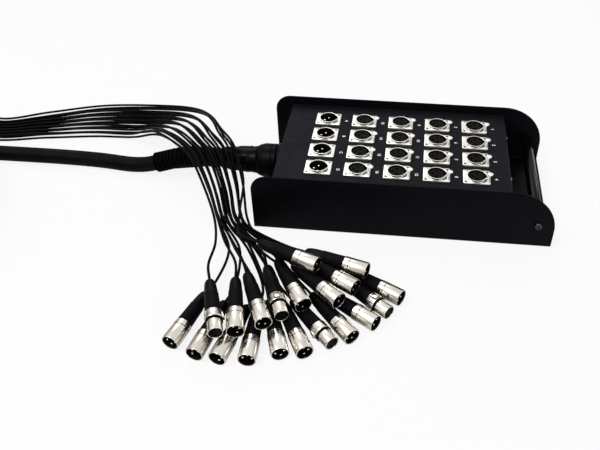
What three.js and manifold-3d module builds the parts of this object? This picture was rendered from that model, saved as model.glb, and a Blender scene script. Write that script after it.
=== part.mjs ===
// Stage box snake: a folded steel stage box with sixteen female and four male panel connectors,
// a heavy multicore lead wound into a coil, and a fan of twenty tails with cable plugs.
// Millimetres, +Z up. Origin on the floor under the middle of the chassis, +X towards the handle.
import * as THREE from 'three';
import { mergeVertices } from 'three/addons/utils/BufferGeometryUtils.js';
import Module from 'manifold-3d';

const wasm = await Module();
wasm.setup();

// Clearances
const fitGap = 0.3;
const overrun = 1;
const floorClearance = 0.4;

// Chassis: one folded channel, a base with two tall cheeks
const chassisLength = 350;
const chassisWidth = 177;
const cheekHeight = 77;
const chassisSheet = 2;
const handleEndRadius = 52;
const cableEndRadius = 20;
const cornerSteps = 7;

// Connector panel: a top with an end wall folded down at each end
const panelTop = 66.2;
const panelSheet = 1.5;
const cableEndSetback = 22.5;
const handleEndSetback = 51.6;

// Panel connectors stand in a grid of columns along X and rows along Y
const columns = 5;
const rows = 4;
const columnPitch = 46;
const rowPitch = 34.5;
const gridOffset = 5.65;
const flangeLength = 31;
const flangeWidth = 26;
const flangeHeight = 2.5;
const flangeCorner = 2.5;
const housingRadius = 11.7;
const housingDepth = 22;
const collarRadius = 11.2;
const collarHeight = 1.6;
const grooveOuterRadius = 9.9;
const grooveInnerRadius = 7.9;
const grooveDepth = 12;
const inletCupRadius = 9.5;
const inletCupDepth = 14;
const inletPinRadius = 1.25;
const inletPinCircle = 4.9;
const inletPinRecess = 4.5;

// Push latch of a female panel connector: a round tab on a flat stem
const tabRadius = 3.3;
const tabThickness = 2;
const tabRise = 5.9;
const tabOffset = 15.3;
const stemOffset = 13.45;
const stemWidth = 2.8;
const stemThickness = 1.6;
const stemReach = 6;
const latchTravel = 2;

// Handle bar between the cheeks, held by a button-head bolt at each end
const handleRadius = 7;
const handleHeight = 32.2;
const handleInset = 19;
const boltRadius = 2.5;
const boltHeadRadius = 3.8;
const boltHeadHeight = 2.2;
const boltReach = 12;

// Cable gland, its cap nut and lock nut, the shrink sleeve and the ribbed bend relief
const glandSide = 4.5;
const glandHeight = 32.2;
const glandRadius = 22;
const glandFlange = 7.5;
const shankRadius = 15;
const shankReach = 14;
const capNutRadius = 21.4;
const capNutLength = 24.5;
const capNutMouth = 18.6;
const capNutRoundShare = 0.67;
const lockNutRadius = 19;
const lockNutLength = 5;
const lockNutSides = 6;
const sleeveLength = 43;
const sleeveRadius = 17.8;
const sleeveEndRadius = 14.2;
const sleeveTaperShare = 0.33;
const ribCrest = 13;
const ribValley = 10.8;
const ribPitch = 5.3;
const reliefBend = 130;
const reliefAngle = 18.5 * THREE.MathUtils.DEG2RAD;
const reliefStraight = 26;
const ribSides = 8;

// Multicore lead, its coil and its far end
const multicoreRadius = 10;
const multicoreSides = 8;
const coilTurnPitch = 20.5;
const coilTurnsPerLayer = 4;
const coilLayers = 4;
const coilInnerRadius = 99;
const coilSteps = 16;
const coilSides = 6;

// Breakout sleeve over the end of the multicore
const breakoutLength = 100;
const breakoutRadius = 12;
const breakoutMouth = 11;
const breakoutTaper = 26;
const breakoutHeading = -35 * THREE.MathUtils.DEG2RAD;

// Tails and their plugs
const tailRadius = 1.55;
const tailSides = 8;
const layerPitch = 4.6;
const tailRootRadius = 12;
const tailRootLength = 5;
const plugLength = 74;
const shellRadius = 9.4;
const shellBackRadius = 9.1;
const shellLength = 27;
const bootRadius = 8.4;
const bootShoulder = 6.4;
const bootTip = 2.2;
const bootShoulderShare = 0.75;
const plugCupRadius = 8.2;
const plugCupDepth = 14;
const plugPinRadius = 1.2;
const plugPinCircle = 4.6;
const plugPinRecess = 6.6;
const noseRadius = 7.95;
const noseLength = 14;
const noseBore = 6.9;
const noseBoreDepth = 1.2;
const backRingLength = 2.5;
const backRingRadius = 9;
const buttonWidth = 5.4;
const buttonLength = 8;
const buttonProud = 1.5;
const buttonSunk = 2.4;
const buttonTravel = 1.3;
const buttonSetback = 17.5;

// Wiring loom inside the box
const loomRadius = 8;
const loomArmRadius = 4;
const loomStubRadius = 2.4;
const loomHeight = 30;
const loomSides = 6;

const roundSides = 16;
const housingSides = 8;
const plugSides = 10;
const tabSides = 8;
const pinSides = 4;

// Places that follow from the sizes above
const panelLeft = -chassisLength / 2 + cableEndSetback;
const panelRight = chassisLength / 2 - handleEndSetback;
const gridCentre = (panelLeft + panelRight) / 2 + gridOffset;
const innerHalfWidth = chassisWidth / 2 - chassisSheet;
const flangeTop = panelTop + flangeHeight;
const handleX = chassisLength / 2 - handleInset;
const floorRest = multicoreRadius + floorClearance;

// Colours of the finishes
const finishes = {
  blackSteel: { color: 0x15151a, roughness: 0.5, metalness: 0.3 },
  blackPanel: { color: 0x1c1c21, roughness: 0.45, metalness: 0.3 },
  blackRubber: { color: 0x111113, roughness: 0.7, metalness: 0 },
  blackPlastic: { color: 0x0e0e10, roughness: 0.4, metalness: 0 },
  nickel: { color: 0xc9c2b6, roughness: 0.3, metalness: 1 },
  steel: { color: 0x8d8d90, roughness: 0.35, metalness: 1 },
  brass: { color: 0xb39a63, roughness: 0.35, metalness: 1 },
};

const stageBoxSnake = new THREE.Group();

function finish(name) {
  return new THREE.MeshStandardMaterial(finishes[name]);
}

// Turns a closed three.js geometry into a solid, dropping the empty triangles at lathe poles
function solid(geometry, matrix) {
  const bare = geometry.clone();
  bare.deleteAttribute('normal');
  bare.deleteAttribute('uv');
  if (matrix) {
    bare.applyMatrix4(matrix);
  }
  const merged = mergeVertices(bare);
  const index = merged.index.array;
  const triVerts = [];
  for (let i = 0; i < index.length; i += 3) {
    const [a, b, c] = [index[i], index[i + 1], index[i + 2]];
    if (a !== b && b !== c && c !== a) {
      triVerts.push(a, b, c);
    }
  }
  return new wasm.Manifold(new wasm.Mesh({
    numProp: 3,
    vertProperties: Float32Array.from(merged.attributes.position.array),
    triVerts: Uint32Array.from(triVerts),
  }));
}

function geometryOf(manifold) {
  const mesh = manifold.getMesh();
  const geometry = new THREE.BufferGeometry();
  geometry.setAttribute('position', new THREE.BufferAttribute(mesh.vertProperties, mesh.numProp));
  geometry.setIndex(new THREE.BufferAttribute(mesh.triVerts, 1));
  geometry.computeVertexNormals();
  return geometry;
}

function addPiece(name, shape, finishName, parent = stageBoxSnake) {
  const geometry = shape.isBufferGeometry ? shape : geometryOf(shape);
  const piece = new THREE.Mesh(geometry, finish(finishName));
  piece.name = name;
  parent.add(piece);
  return piece;
}

function moved(x, y, z) {
  return new THREE.Matrix4().makeTranslation(x, y, z);
}

function box(low, high) {
  const size = new THREE.Vector3().subVectors(high, low);
  const middle = new THREE.Vector3().addVectors(low, high).multiplyScalar(0.5);
  return solid(new THREE.BoxGeometry(size.x, size.y, size.z), moved(middle.x, middle.y, middle.z));
}

function vec(x, y, z) {
  return new THREE.Vector3(x, y, z);
}

// A turned solid about +Z from [radius, height] points that run upwards and meet the axis
function turned(profile, sides, matrix) {
  const points = profile.map(([radius, height]) => new THREE.Vector2(radius, height));
  const upright = new THREE.Matrix4().makeRotationX(Math.PI / 2);
  const place = matrix ? matrix.clone().multiply(upright) : upright;
  return solid(new THREE.LatheGeometry(points, sides), place);
}

function rod(radius, bottom, top, sides, matrix) {
  return turned([[0, bottom], [radius, bottom], [radius, top], [0, top]], sides, matrix);
}

// Turns a solid made along +Z so that it runs along -X from the given place
function alongCable(x, y, z) {
  return moved(x, y, z).multiply(new THREE.Matrix4().makeRotationY(-Math.PI / 2));
}

function alongWidth(x, z) {
  return moved(x, 0, z).multiply(new THREE.Matrix4().makeRotationX(-Math.PI / 2));
}

function tubeSection(radius, sides) {
  const corners = [];
  for (let i = 0; i < sides; i += 1) {
    const angle = (i / sides) * 2 * Math.PI;
    corners.push(new THREE.Vector2(radius * Math.cos(angle), radius * Math.sin(angle)));
  }
  return new THREE.Shape(corners);
}

// A smooth curve that is stepped by its own points, so that a tube has a ring at each of them
class RouteCurve extends THREE.CatmullRomCurve3 {
  getUtoTmapping(share) {
    return share;
  }
}

function tube(points, radius, sides) {
  const path = new RouteCurve(points.map(([x, y, z]) => vec(x, y, z)));
  const steps = points.length - 1;
  return new THREE.ExtrudeGeometry(tubeSection(radius, sides), { steps, extrudePath: path });
}

// Chassis

function cheekOutline() {
  const left = -chassisLength / 2;
  const right = chassisLength / 2;
  const outline = new THREE.Shape();
  outline.moveTo(left, 0);
  outline.lineTo(right, 0);
  outline.lineTo(right, cheekHeight - handleEndRadius);
  outline.absarc(right - handleEndRadius, cheekHeight - handleEndRadius, handleEndRadius, 0, Math.PI / 2);
  outline.lineTo(left + cableEndRadius, cheekHeight);
  outline.absarc(left + cableEndRadius, cheekHeight - cableEndRadius, cableEndRadius, Math.PI / 2, Math.PI);
  return outline;
}

function makeChassis() {
  const cheek = new THREE.ExtrudeGeometry(cheekOutline(), {
    depth: chassisSheet,
    bevelEnabled: false,
    curveSegments: cornerSteps,
  });
  const upright = new THREE.Matrix4().makeRotationX(Math.PI / 2);
  const half = chassisWidth / 2;
  let chassis = box(vec(-chassisLength / 2, -half, 0), vec(chassisLength / 2, half, chassisSheet));
  for (const near of [-half + chassisSheet, half]) {
    chassis = chassis.add(solid(cheek, moved(0, near, 0).multiply(upright)));
  }
  const boltHole = rod(boltRadius + fitGap, -half - overrun, half + overrun, tabSides,
    alongWidth(handleX, handleHeight));
  return chassis.subtract(boltHole);
}

// Panel connectors

function flangeOutline() {
  const halfLength = flangeLength / 2;
  const halfWidth = flangeWidth / 2;
  const corners = [];
  for (const [sx, sy] of [[1, 1], [-1, 1], [-1, -1], [1, -1]]) {
    const first = new THREE.Vector2(sx * halfLength, sy * (halfWidth - flangeCorner));
    const second = new THREE.Vector2(sx * (halfLength - flangeCorner), sy * halfWidth);
    corners.push(...(sx * sy > 0 ? [first, second] : [second, first]));
  }
  return new THREE.Shape(corners);
}

function flange(bottom, top) {
  const plate = new THREE.ExtrudeGeometry(flangeOutline(), { depth: top - bottom, bevelEnabled: false });
  return solid(plate, moved(0, 0, bottom));
}

function gridPlaces() {
  const places = [];
  for (let column = 0; column < columns; column += 1) {
    for (let row = 0; row < rows; row += 1) {
      const x = gridCentre + (column - (columns - 1) / 2) * columnPitch;
      const y = ((rows - 1) / 2 - row) * rowPitch;
      places.push({ column, row, x, y });
    }
  }
  return places;
}

// Socket numbers run from the handle end: 1 to 4 in the last column, 13 to 16 next to the inlets
function socketNumber(place) {
  return (columns - 1 - place.column) * rows + place.row + 1;
}

const housingBottom = panelTop - housingDepth;

function femaleHousing() {
  const collarTop = flangeTop + collarHeight;
  const grooveFloor = flangeTop - grooveDepth;
  return flange(panelTop, flangeTop)
    .add(rod(housingRadius, housingBottom, panelTop + overrun, housingSides))
    .add(rod(collarRadius, panelTop, collarTop, housingSides))
    .subtract(rod(grooveOuterRadius, grooveFloor, collarTop + overrun, housingSides))
    .add(rod(grooveInnerRadius, grooveFloor - overrun, flangeTop, housingSides));
}

function stemSlot() {
  const along = stemThickness / 2 + fitGap;
  const across = stemWidth / 2 + fitGap;
  return box(vec(stemOffset - along, -across, flangeTop - stemReach - latchTravel - fitGap),
    vec(stemOffset + along, across, flangeTop + overrun));
}

function maleInlet() {
  const collarTop = flangeTop + collarHeight;
  const cupFloor = flangeTop - inletCupDepth;
  let inlet = flange(panelTop + fitGap, flangeTop)
    .add(rod(housingRadius, housingBottom, panelTop + overrun, housingSides))
    .add(rod(collarRadius, panelTop + overrun, collarTop, housingSides))
    .subtract(rod(inletCupRadius, cupFloor, collarTop + overrun, housingSides));
  for (const angle of [-Math.PI / 2, Math.PI / 2, Math.PI]) {
    const pin = rod(inletPinRadius, cupFloor - overrun, flangeTop - inletPinRecess, pinSides,
      moved(inletPinCircle * Math.cos(angle), inletPinCircle * Math.sin(angle), 0));
    inlet = inlet.add(pin);
  }
  return inlet;
}

function latchTab() {
  const tabTop = flangeTop + tabRise;
  const along = stemThickness / 2;
  const across = stemWidth / 2;
  const tab = rod(tabRadius, tabTop - tabThickness, tabTop, tabSides, moved(tabOffset, 0, 0));
  return tab.add(box(vec(stemOffset - along, -across, flangeTop - stemReach),
    vec(stemOffset + along, across, tabTop - tabThickness / 2)));
}

// The panel carries the sixteen female housings as one solid, and is bored for the four inlets
function makePanel() {
  const half = innerHalfWidth - fitGap;
  const foot = chassisSheet + fitGap;
  let panel = box(vec(panelLeft, -half, panelTop - panelSheet), vec(panelRight, half, panelTop))
    .add(box(vec(panelLeft, -half, foot), vec(panelLeft + panelSheet, half, panelTop)))
    .add(box(vec(panelRight - panelSheet, -half, foot), vec(panelRight, half, panelTop)));
  const housing = femaleHousing();
  const well = rod(grooveOuterRadius + overrun, housingBottom + overrun, panelTop + overrun, housingSides);
  const bore = rod(housingRadius + fitGap, housingBottom, panelTop + overrun, housingSides);
  const slot = stemSlot();
  for (const { column, x, y } of gridPlaces()) {
    if (column === 0) {
      panel = panel.subtract(bore.translate([x, y, 0]));
    } else {
      panel = panel.subtract(well.translate([x, y, 0])).add(housing.translate([x, y, 0]))
        .subtract(slot.translate([x, y, 0]));
    }
  }
  const glandBore = rod(shankRadius + fitGap, -overrun, panelSheet + overrun, roundSides,
    alongCable(panelLeft + panelSheet, glandSide, glandHeight));
  return panel.subtract(glandBore);
}

function addPanelConnectors() {
  const inlet = geometryOf(maleInlet());
  const latch = geometryOf(latchTab());
  for (const place of gridPlaces()) {
    const letter = 'abcd'[place.row];
    const number = String(socketNumber(place)).padStart(2, '0');
    const isInlet = place.column === 0;
    const name = isInlet ? `inlet_${letter}` : `latch_${number}`;
    addPiece(name, isInlet ? inlet : latch, 'nickel').position.set(place.x, place.y, 0);
  }
}

// Handle

function addHandle() {
  const half = innerHalfWidth - fitGap;
  const outside = chassisWidth / 2 + fitGap;
  const lay = alongWidth(handleX, handleHeight);
  const bore = boltRadius + fitGap;
  const bar = rod(handleRadius, -half, half, roundSides, lay)
    .subtract(rod(bore, -half - overrun, -half + boltReach, tabSides, lay))
    .subtract(rod(bore, half - boltReach, half + overrun, tabSides, lay));
  addPiece('handle_bar', bar, 'blackPlastic');
  const boltEnd = half - boltReach + fitGap;
  const bolt = turned([[0, boltEnd], [boltRadius, boltEnd], [boltRadius, outside], [boltHeadRadius, outside],
    [boltHeadRadius, outside + boltHeadHeight / 2], [boltRadius, outside + boltHeadHeight],
    [0, outside + boltHeadHeight]], tabSides);
  const rear = addPiece('handle_bolt_rear', bolt, 'steel');
  rear.rotation.x = -Math.PI / 2;
  rear.position.set(handleX, 0, handleHeight);
  const front = addPiece('handle_bolt_front', bolt, 'steel');
  front.rotation.x = Math.PI / 2;
  front.position.set(handleX, 0, handleHeight);
}

// Cable entry: everything here is turned along -X from the outer face of the end wall

const capNutStart = fitGap + glandFlange + fitGap;
const sleeveStart = capNutStart + capNutLength + fitGap;
const reliefStart = sleeveStart + sleeveLength + fitGap;

function addCableEntry() {
  const lay = alongCable(panelLeft, glandSide, glandHeight);
  const gland = turned([[0, -panelSheet - shankReach], [shankRadius, -panelSheet - shankReach],
    [shankRadius, fitGap], [glandRadius, fitGap], [glandRadius, fitGap + glandFlange],
    [0, fitGap + glandFlange]], roundSides, lay);
  addPiece('cable_gland', gland, 'blackPlastic');
  const capNut = turned([[0, capNutStart], [capNutRadius, capNutStart],
    [capNutRadius, capNutStart + capNutLength * capNutRoundShare], [capNutMouth, capNutStart + capNutLength],
    [0, capNutStart + capNutLength]], roundSides, lay);
  addPiece('gland_nut', capNut, 'blackPlastic');
  const lockFace = -panelSheet - fitGap;
  const lockEnd = lockFace - lockNutLength;
  const lockNut = rod(lockNutRadius, lockEnd, lockFace, lockNutSides, lay)
    .subtract(rod(shankRadius + fitGap, lockEnd - overrun, lockFace + overrun, roundSides, lay));
  addPiece('gland_locknut', lockNut, 'brass');
  const sleeveEnd = sleeveStart + sleeveLength;
  const sleeve = turned([[0, sleeveStart], [sleeveRadius, sleeveStart],
    [sleeveRadius, sleeveStart + sleeveLength * sleeveTaperShare], [sleeveEndRadius, sleeveEnd],
    [0, sleeveEnd]], roundSides, lay);
  addPiece('shrink_sleeve', sleeve, 'blackPlastic');
}

// The relief runs straight, bends down towards the floor and runs straight again
function reliefPoint(distance) {
  const arcLength = reliefBend * reliefAngle;
  const arc = THREE.MathUtils.clamp(distance - reliefStraight, 0, arcLength);
  const angle = arc / reliefBend;
  const before = Math.min(distance, reliefStraight);
  const after = Math.max(distance - reliefStraight - arcLength, 0);
  const along = before + reliefBend * Math.sin(angle) + after * Math.cos(angle);
  const drop = reliefBend * (1 - Math.cos(angle)) + after * Math.sin(angle);
  return { x: panelLeft - reliefStart - along, z: glandHeight - drop, angle };
}

// Joins rings of points into one closed tube: rings are [centre, side direction, up direction, radius]
function ringTube(rings, sides) {
  const positions = [];
  const index = [];
  for (const { centre, side, up, radius } of rings) {
    for (let i = 0; i < sides; i += 1) {
      const angle = (i / sides) * 2 * Math.PI;
      const point = centre.clone().addScaledVector(side, radius * Math.cos(angle))
        .addScaledVector(up, radius * Math.sin(angle));
      positions.push(point.x, point.y, point.z);
    }
  }
  for (let ring = 0; ring < rings.length - 1; ring += 1) {
    for (let i = 0; i < sides; i += 1) {
      const a = ring * sides + i;
      const b = ring * sides + (i + 1) % sides;
      index.push(a, b, b + sides, a, b + sides, a + sides);
    }
  }
  const last = (rings.length - 1) * sides;
  for (let i = 1; i < sides - 1; i += 1) {
    index.push(0, i + 1, i, last, last + i, last + i + 1);
  }
  const geometry = new THREE.BufferGeometry();
  geometry.setAttribute('position', new THREE.Float32BufferAttribute(positions, 3));
  geometry.setIndex(index);
  geometry.computeVertexNormals();
  return geometry;
}

function makeBendRelief() {
  const length = 2 * reliefStraight + reliefBend * reliefAngle;
  const ribs = Math.round(length / ribPitch);
  const rings = [];
  for (let i = 0; i <= 2 * ribs; i += 1) {
    const { x, z, angle } = reliefPoint(length * i / (2 * ribs));
    rings.push({
      centre: vec(x, glandSide, z),
      side: vec(0, -1, 0),
      up: vec(-Math.sin(angle), 0, Math.cos(angle)),
      radius: i % 2 ? ribCrest : ribValley,
    });
  }
  return ringTube(rings, ribSides);
}

// Multicore lead from the bend relief to the coil; its first point follows the relief
const reliefEnd = reliefPoint(2 * reliefStraight + reliefBend * reliefAngle);
const leadRoute = [
  [-334, 4.6, 13.5], [-348, 5.2, 11.4], [-363, 6.6, 10.5], [-378, 8.6, 10.4],
  [-396, 10.6, 10.4], [-416, 11.8, 10.4], [-438, 12.6, 10.4], [-462, 13, 10.4], [-488, 13, 10.4],
  [-516, 12.8, 10.4], [-545, 12.5, 10.4], [-575, 12.2, 10.4], [-605, 12, 10.4], [-635, 12, 10.4],
  [-650, 12, 10.4], [-669.7, 12, 10.4],
];

function leadPoints() {
  const { x, z, angle } = reliefEnd;
  const ahead = (distance) => [x - distance * Math.cos(angle), glandSide, z - distance * Math.sin(angle)];
  return [ahead(fitGap), ahead(multicoreRadius / 2), ...leadRoute];
}

// The coil winds anticlockwise from its northmost point, in and out, four layers high
const coilOuterRadius = coilInnerRadius + coilTurnPitch * coilTurnsPerLayer;
const coilCentreX = -690;
const coilStartY = 12;

function coilPoint(turn) {
  const layer = Math.min(Math.floor(turn / coilTurnsPerLayer), coilLayers - 1);
  const within = turn - layer * coilTurnsPerLayer;
  const inward = layer % 2 === 0;
  const reach = inward ? coilTurnsPerLayer - within : within;
  const radius = coilInnerRadius + coilTurnPitch * reach;
  const nearest = Math.round(turn / coilTurnsPerLayer);
  const fromChange = turn - nearest * coilTurnsPerLayer;
  const isChange = nearest > 0 && nearest < coilLayers && Math.abs(fromChange) < 0.25;
  const level = isChange ? nearest - 0.5 + 2 * fromChange : layer;
  return { radius, angle: Math.PI / 2 + 2 * Math.PI * turn, z: floorRest + coilTurnPitch * level };
}

function makeCoil() {
  const turns = coilLayers * coilTurnsPerLayer;
  const rings = [];
  const centreY = coilStartY - coilOuterRadius;
  for (let i = 0; i <= turns * coilSteps; i += 1) {
    const { radius, angle, z } = coilPoint(i / coilSteps);
    const outward = vec(Math.cos(angle), Math.sin(angle), 0);
    rings.push({
      centre: vec(coilCentreX, centreY, z).addScaledVector(outward, radius),
      side: outward.clone().negate(),
      up: vec(0, 0, 1),
      radius: multicoreRadius,
    });
  }
  const straight = vec(2 * multicoreRadius, 0, 0);
  const first = rings[0];
  const last = rings[rings.length - 1];
  rings.unshift({ ...first, centre: first.centre.clone().add(straight) });
  rings.push({ ...last, centre: last.centre.clone().sub(straight) });
  printSelfGap(rings);
  return ringTube(rings, coilSides);
}

// Least distance between turns that are half a turn or more apart along the winding
function printSelfGap(rings) {
  let least = Infinity;
  for (let i = 0; i < rings.length; i += 1) {
    for (let j = i + coilSteps / 2; j < rings.length; j += 1) {
      least = Math.min(least, rings[i].centre.distanceTo(rings[j].centre));
    }
  }
  console.log(`coil self gap ${(least - 2 * multicoreRadius).toFixed(2)} mm`);
}

// From the top of the coil down to the floor and round to the breakout
const endRoute = [
  [-710.3, 12, 71.9], [-730, 12, 71.6], [-752, 13, 69.6], [-775, 17, 64.5], [-798, 25, 56.5],
  [-819, 38, 47], [-836, 55, 37.5], [-847, 75, 28.5], [-851, 96, 21], [-847.2, 121.1, 15.6],
  [-836.3, 144.1, 12.9], [-819.1, 162.8, 12.4], [-797.2, 175.7, 12.4], [-772.5, 181.7, 12.4],
  [-747.1, 180.1, 12.4], [-730, 174.6, 12.4], [-715.7, 166.4, 12.4], [-699.3, 155, 12.4],
];

// Turns a solid made along +Z so that it follows the end of the multicore
function alongBreakout() {
  const [x, y, z] = endRoute[endRoute.length - 1];
  return moved(x, y, z).multiply(new THREE.Matrix4().makeRotationZ(breakoutHeading))
    .multiply(new THREE.Matrix4().makeRotationY(Math.PI / 2));
}

const breakoutEnd = fitGap + breakoutLength;

function makeBreakout() {
  return turned([[0, fitGap], [breakoutRadius, fitGap], [breakoutRadius, breakoutEnd - breakoutTaper],
    [breakoutMouth, breakoutEnd], [0, breakoutEnd]], roundSides, alongBreakout());
}

// Tails. The bundle has shared stations: x, y, half its width, height of its lowest layer.
const bundleStations = [
  [-615.3, 96.1, 10.3, 7.8], [-575, 72, 19, 3], [-505, 90, 27, 2.2], [-435, 108, 35, 2.2],
  [-370, 110, 39, 5], [-318, 84, 40, 25], [-284, 43, 37, 45], [-259, 10, 31, 51],
  [-236, -18, 28, 49], [-218, -48, 24, 24], [-204, -82, 20, 3],
];

// One row for each tail: its layer, its lane across the bundle at the start, over the relief and at
// the end (-1 to 1, positive to the left), where it leaves the bundle, the point that it then passes,
// the tip of its plug's boot and the way that the plug points, in degrees from +X.
const tails = [
  { plug: 1, layer: 0, lanes: [-1, -0.9, -0.75], leaves: 10, via: [-196, -132, 3],
    tip: [-201.8, -209.7, 10], heading: -106 },
  { plug: 2, layer: 2, lanes: [-1, -1.1, -1], leaves: 10, via: [-211, -131, 12],
    tip: [-197.3, -207.6, 27.4], heading: -72 },
  { plug: 3, layer: 1, lanes: [-0.83, -0.8, -0.8], leaves: 10, via: [-202, -126, 10],
    tip: [-170.6, -201.9, 27.8], heading: -78 },
  { plug: 4, layer: 2, lanes: [-0.67, -0.85, -0.75], leaves: 10, via: [-196, -122, 12.5],
    tip: [-160.4, -192.9, 27], heading: -65.5 },
  { plug: 5, layer: 1, lanes: [-0.17, -0.1, -0.3], leaves: 10, via: [-190, -114, 9.5],
    tip: [-140.9, -180.2, 27.2], heading: -68 },
  { plug: 6, layer: 2, lanes: [-0.33, -0.6, -0.5], leaves: 10, via: [-183, -118, 15],
    tip: [-131.5, -169.5, 27.9], heading: -59 },
  { plug: 7, layer: 0, lanes: [-0.67, -0.6, -0.45], leaves: 10, via: [-184, -130, 3],
    tip: [-179, -220.3, 10], heading: -102 },
  { plug: 8, layer: 1, lanes: [-0.5, -0.45, -0.55], leaves: 10, via: [-190, -132, 9],
    tip: [-154.1, -223.7, 10], heading: -103 },
  { plug: 9, layer: 0, lanes: [-0.33, -0.3, -0.2], leaves: 10, via: [-173, -132, 3],
    tip: [-142.5, -220.4, 10], heading: -89 },
  { plug: 10, layer: 1, lanes: [0.17, 0.2, -0.05], leaves: 10, via: [-174, -126, 8],
    tip: [-134, -213.6, 10], heading: -71 },
  { plug: 11, layer: 1, lanes: [0.5, 0.55, 0.2], leaves: 10, via: [-168, -122, 7],
    tip: [-120.6, -213.8, 10], heading: -62 },
  { plug: 12, layer: 0, lanes: [0, 0, 0.05], leaves: 10, via: [-166, -129, 3],
    tip: [-109.8, -209.9, 10], heading: -48 },
  { plug: 13, layer: 1, lanes: [0.83, 0.95, 0.6], leaves: 10, via: [-166, -116, 12],
    tip: [-90.6, -199.7, 10], heading: -48 },
  { plug: 14, layer: 0, lanes: [0.33, 0.3, 0.3], leaves: 10, via: [-160, -130, 3],
    tip: [-80.7, -193.5, 10], heading: -33 },
  { plug: 15, layer: 0, lanes: [0.67, 0.6, 0.6], leaves: 10, via: [-172, -106, 2.5],
    tip: [-63.5, -171.2, 10], heading: -39 },
  { plug: 16, layer: 0, lanes: [1, 1, 0.95], leaves: 10, via: [-171, -100, 2.5],
    tip: [-58.5, -158.7, 10], heading: -30 },
  { plug: 17, layer: 2, lanes: [0, -0.25, -0.1], leaves: 10, via: [-180, -114, 13],
    tip: [-113.8, -174.5, 27.6], heading: -41 },
  { plug: 18, layer: 2, lanes: [0.33, 0.05, 0.25], leaves: 10, via: [-181, -106, 13],
    tip: [-106.4, -164.4, 27.6], heading: -31 },
  { plug: 19, layer: 2, lanes: [0.67, 0.4, 0.6], leaves: 10, via: [-183, -98, 13],
    tip: [-103, -153.6, 27.6], heading: -18 },
  { plug: 20, layer: 2, lanes: [1, 0.85, 1.05], leaves: 9, via: [-190, -90, 26],
    tip: [-152.5, -161.9, 44.8], heading: -23 },
];
const approachLength = 22;

function laneAt(lanes, station) {
  const share = station / (bundleStations.length - 1);
  const [start, middle, end] = lanes;
  return share < 0.5 ? start + (middle - start) * share * 2 : middle + (end - middle) * (share * 2 - 1);
}

function tailRoute(tail) {
  const points = bundleStations.slice(0, tail.leaves + 1).map(([x, y, halfWidth, z], station) => {
    const before = bundleStations[Math.max(station - 1, 0)];
    const after = bundleStations[Math.min(station + 1, bundleStations.length - 1)];
    const along = new THREE.Vector2(after[0] - before[0], after[1] - before[1]).normalize();
    const across = halfWidth * laneAt(tail.lanes, station);
    const heading = station === 0 ? breakoutHeading : along.angle();
    return [x - Math.sin(heading) * across, y + Math.cos(heading) * across, z + tail.layer * layerPitch];
  });
  const [x, y, z] = tail.tip;
  const heading = tail.heading * THREE.MathUtils.DEG2RAD;
  const behind = (distance) => [x - Math.cos(heading) * distance, y - Math.sin(heading) * distance, z];
  return [...points, tail.via, behind(approachLength), tail.tip];
}

function makeTails() {
  const rootStart = breakoutEnd + fitGap;
  let bundle = rod(tailRootRadius, rootStart, rootStart + tailRootLength, roundSides, alongBreakout());
  for (const tail of tails) {
    bundle = bundle.add(solid(tube(tailRoute(tail), tailRadius, tailSides)));
  }
  return bundle;
}

// Plugs are turned along +Z from the boot's tip to the mouth, then laid in the direction they point

function bootProfile() {
  const bootLength = plugLength - shellLength;
  return [[0, 0], [bootTip, 0], [bootShoulder, bootLength * (1 - bootShoulderShare)],
    [bootRadius, bootLength]];
}

function malePlug() {
  const cupFloor = plugLength - plugCupDepth;
  let plug = turned([...bootProfile(), [shellBackRadius, plugLength - shellLength],
    [shellRadius, plugLength], [plugCupRadius, plugLength], [plugCupRadius, cupFloor],
    [0, cupFloor]], plugSides);
  for (let i = 0; i < 3; i += 1) {
    const angle = Math.PI + (i - 1) * Math.PI / 2;
    plug = plug.add(rod(plugPinRadius, cupFloor - overrun, plugLength - plugPinRecess, pinSides,
      moved(plugPinCircle * Math.cos(angle), plugPinCircle * Math.sin(angle), 0)));
  }
  return plug;
}

const buttonFront = plugLength - buttonSetback;
const buttonOuter = shellRadius + buttonProud;
const buttonInner = shellRadius - buttonSunk;

function femalePlug() {
  const shoulder = plugLength - noseLength;
  const boreFloor = plugLength - noseBoreDepth;
  const plug = turned([...bootProfile(), [shellBackRadius, plugLength - shellLength],
    [shellRadius, shoulder - backRingLength], [backRingRadius, shoulder], [noseRadius, shoulder],
    [noseRadius, plugLength], [noseBore, plugLength], [noseBore, boreFloor], [0, boreFloor]], plugSides);
  const half = buttonWidth / 2 + fitGap;
  const pocket = box(vec(buttonInner - buttonTravel - fitGap, -half, buttonFront - buttonLength - fitGap),
    vec(buttonOuter + overrun, half, buttonFront + fitGap));
  return plug.subtract(pocket);
}

function plugButton() {
  const half = buttonWidth / 2;
  return box(vec(buttonInner, -half, buttonFront - buttonLength), vec(buttonOuter, half, buttonFront));
}

// The way that each female plug's button faces, in degrees round the plug: 0 up, 90 to its right
const buttonTurns = { 2: -90, 5: 0, 12: 90, 15: 0 };

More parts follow.
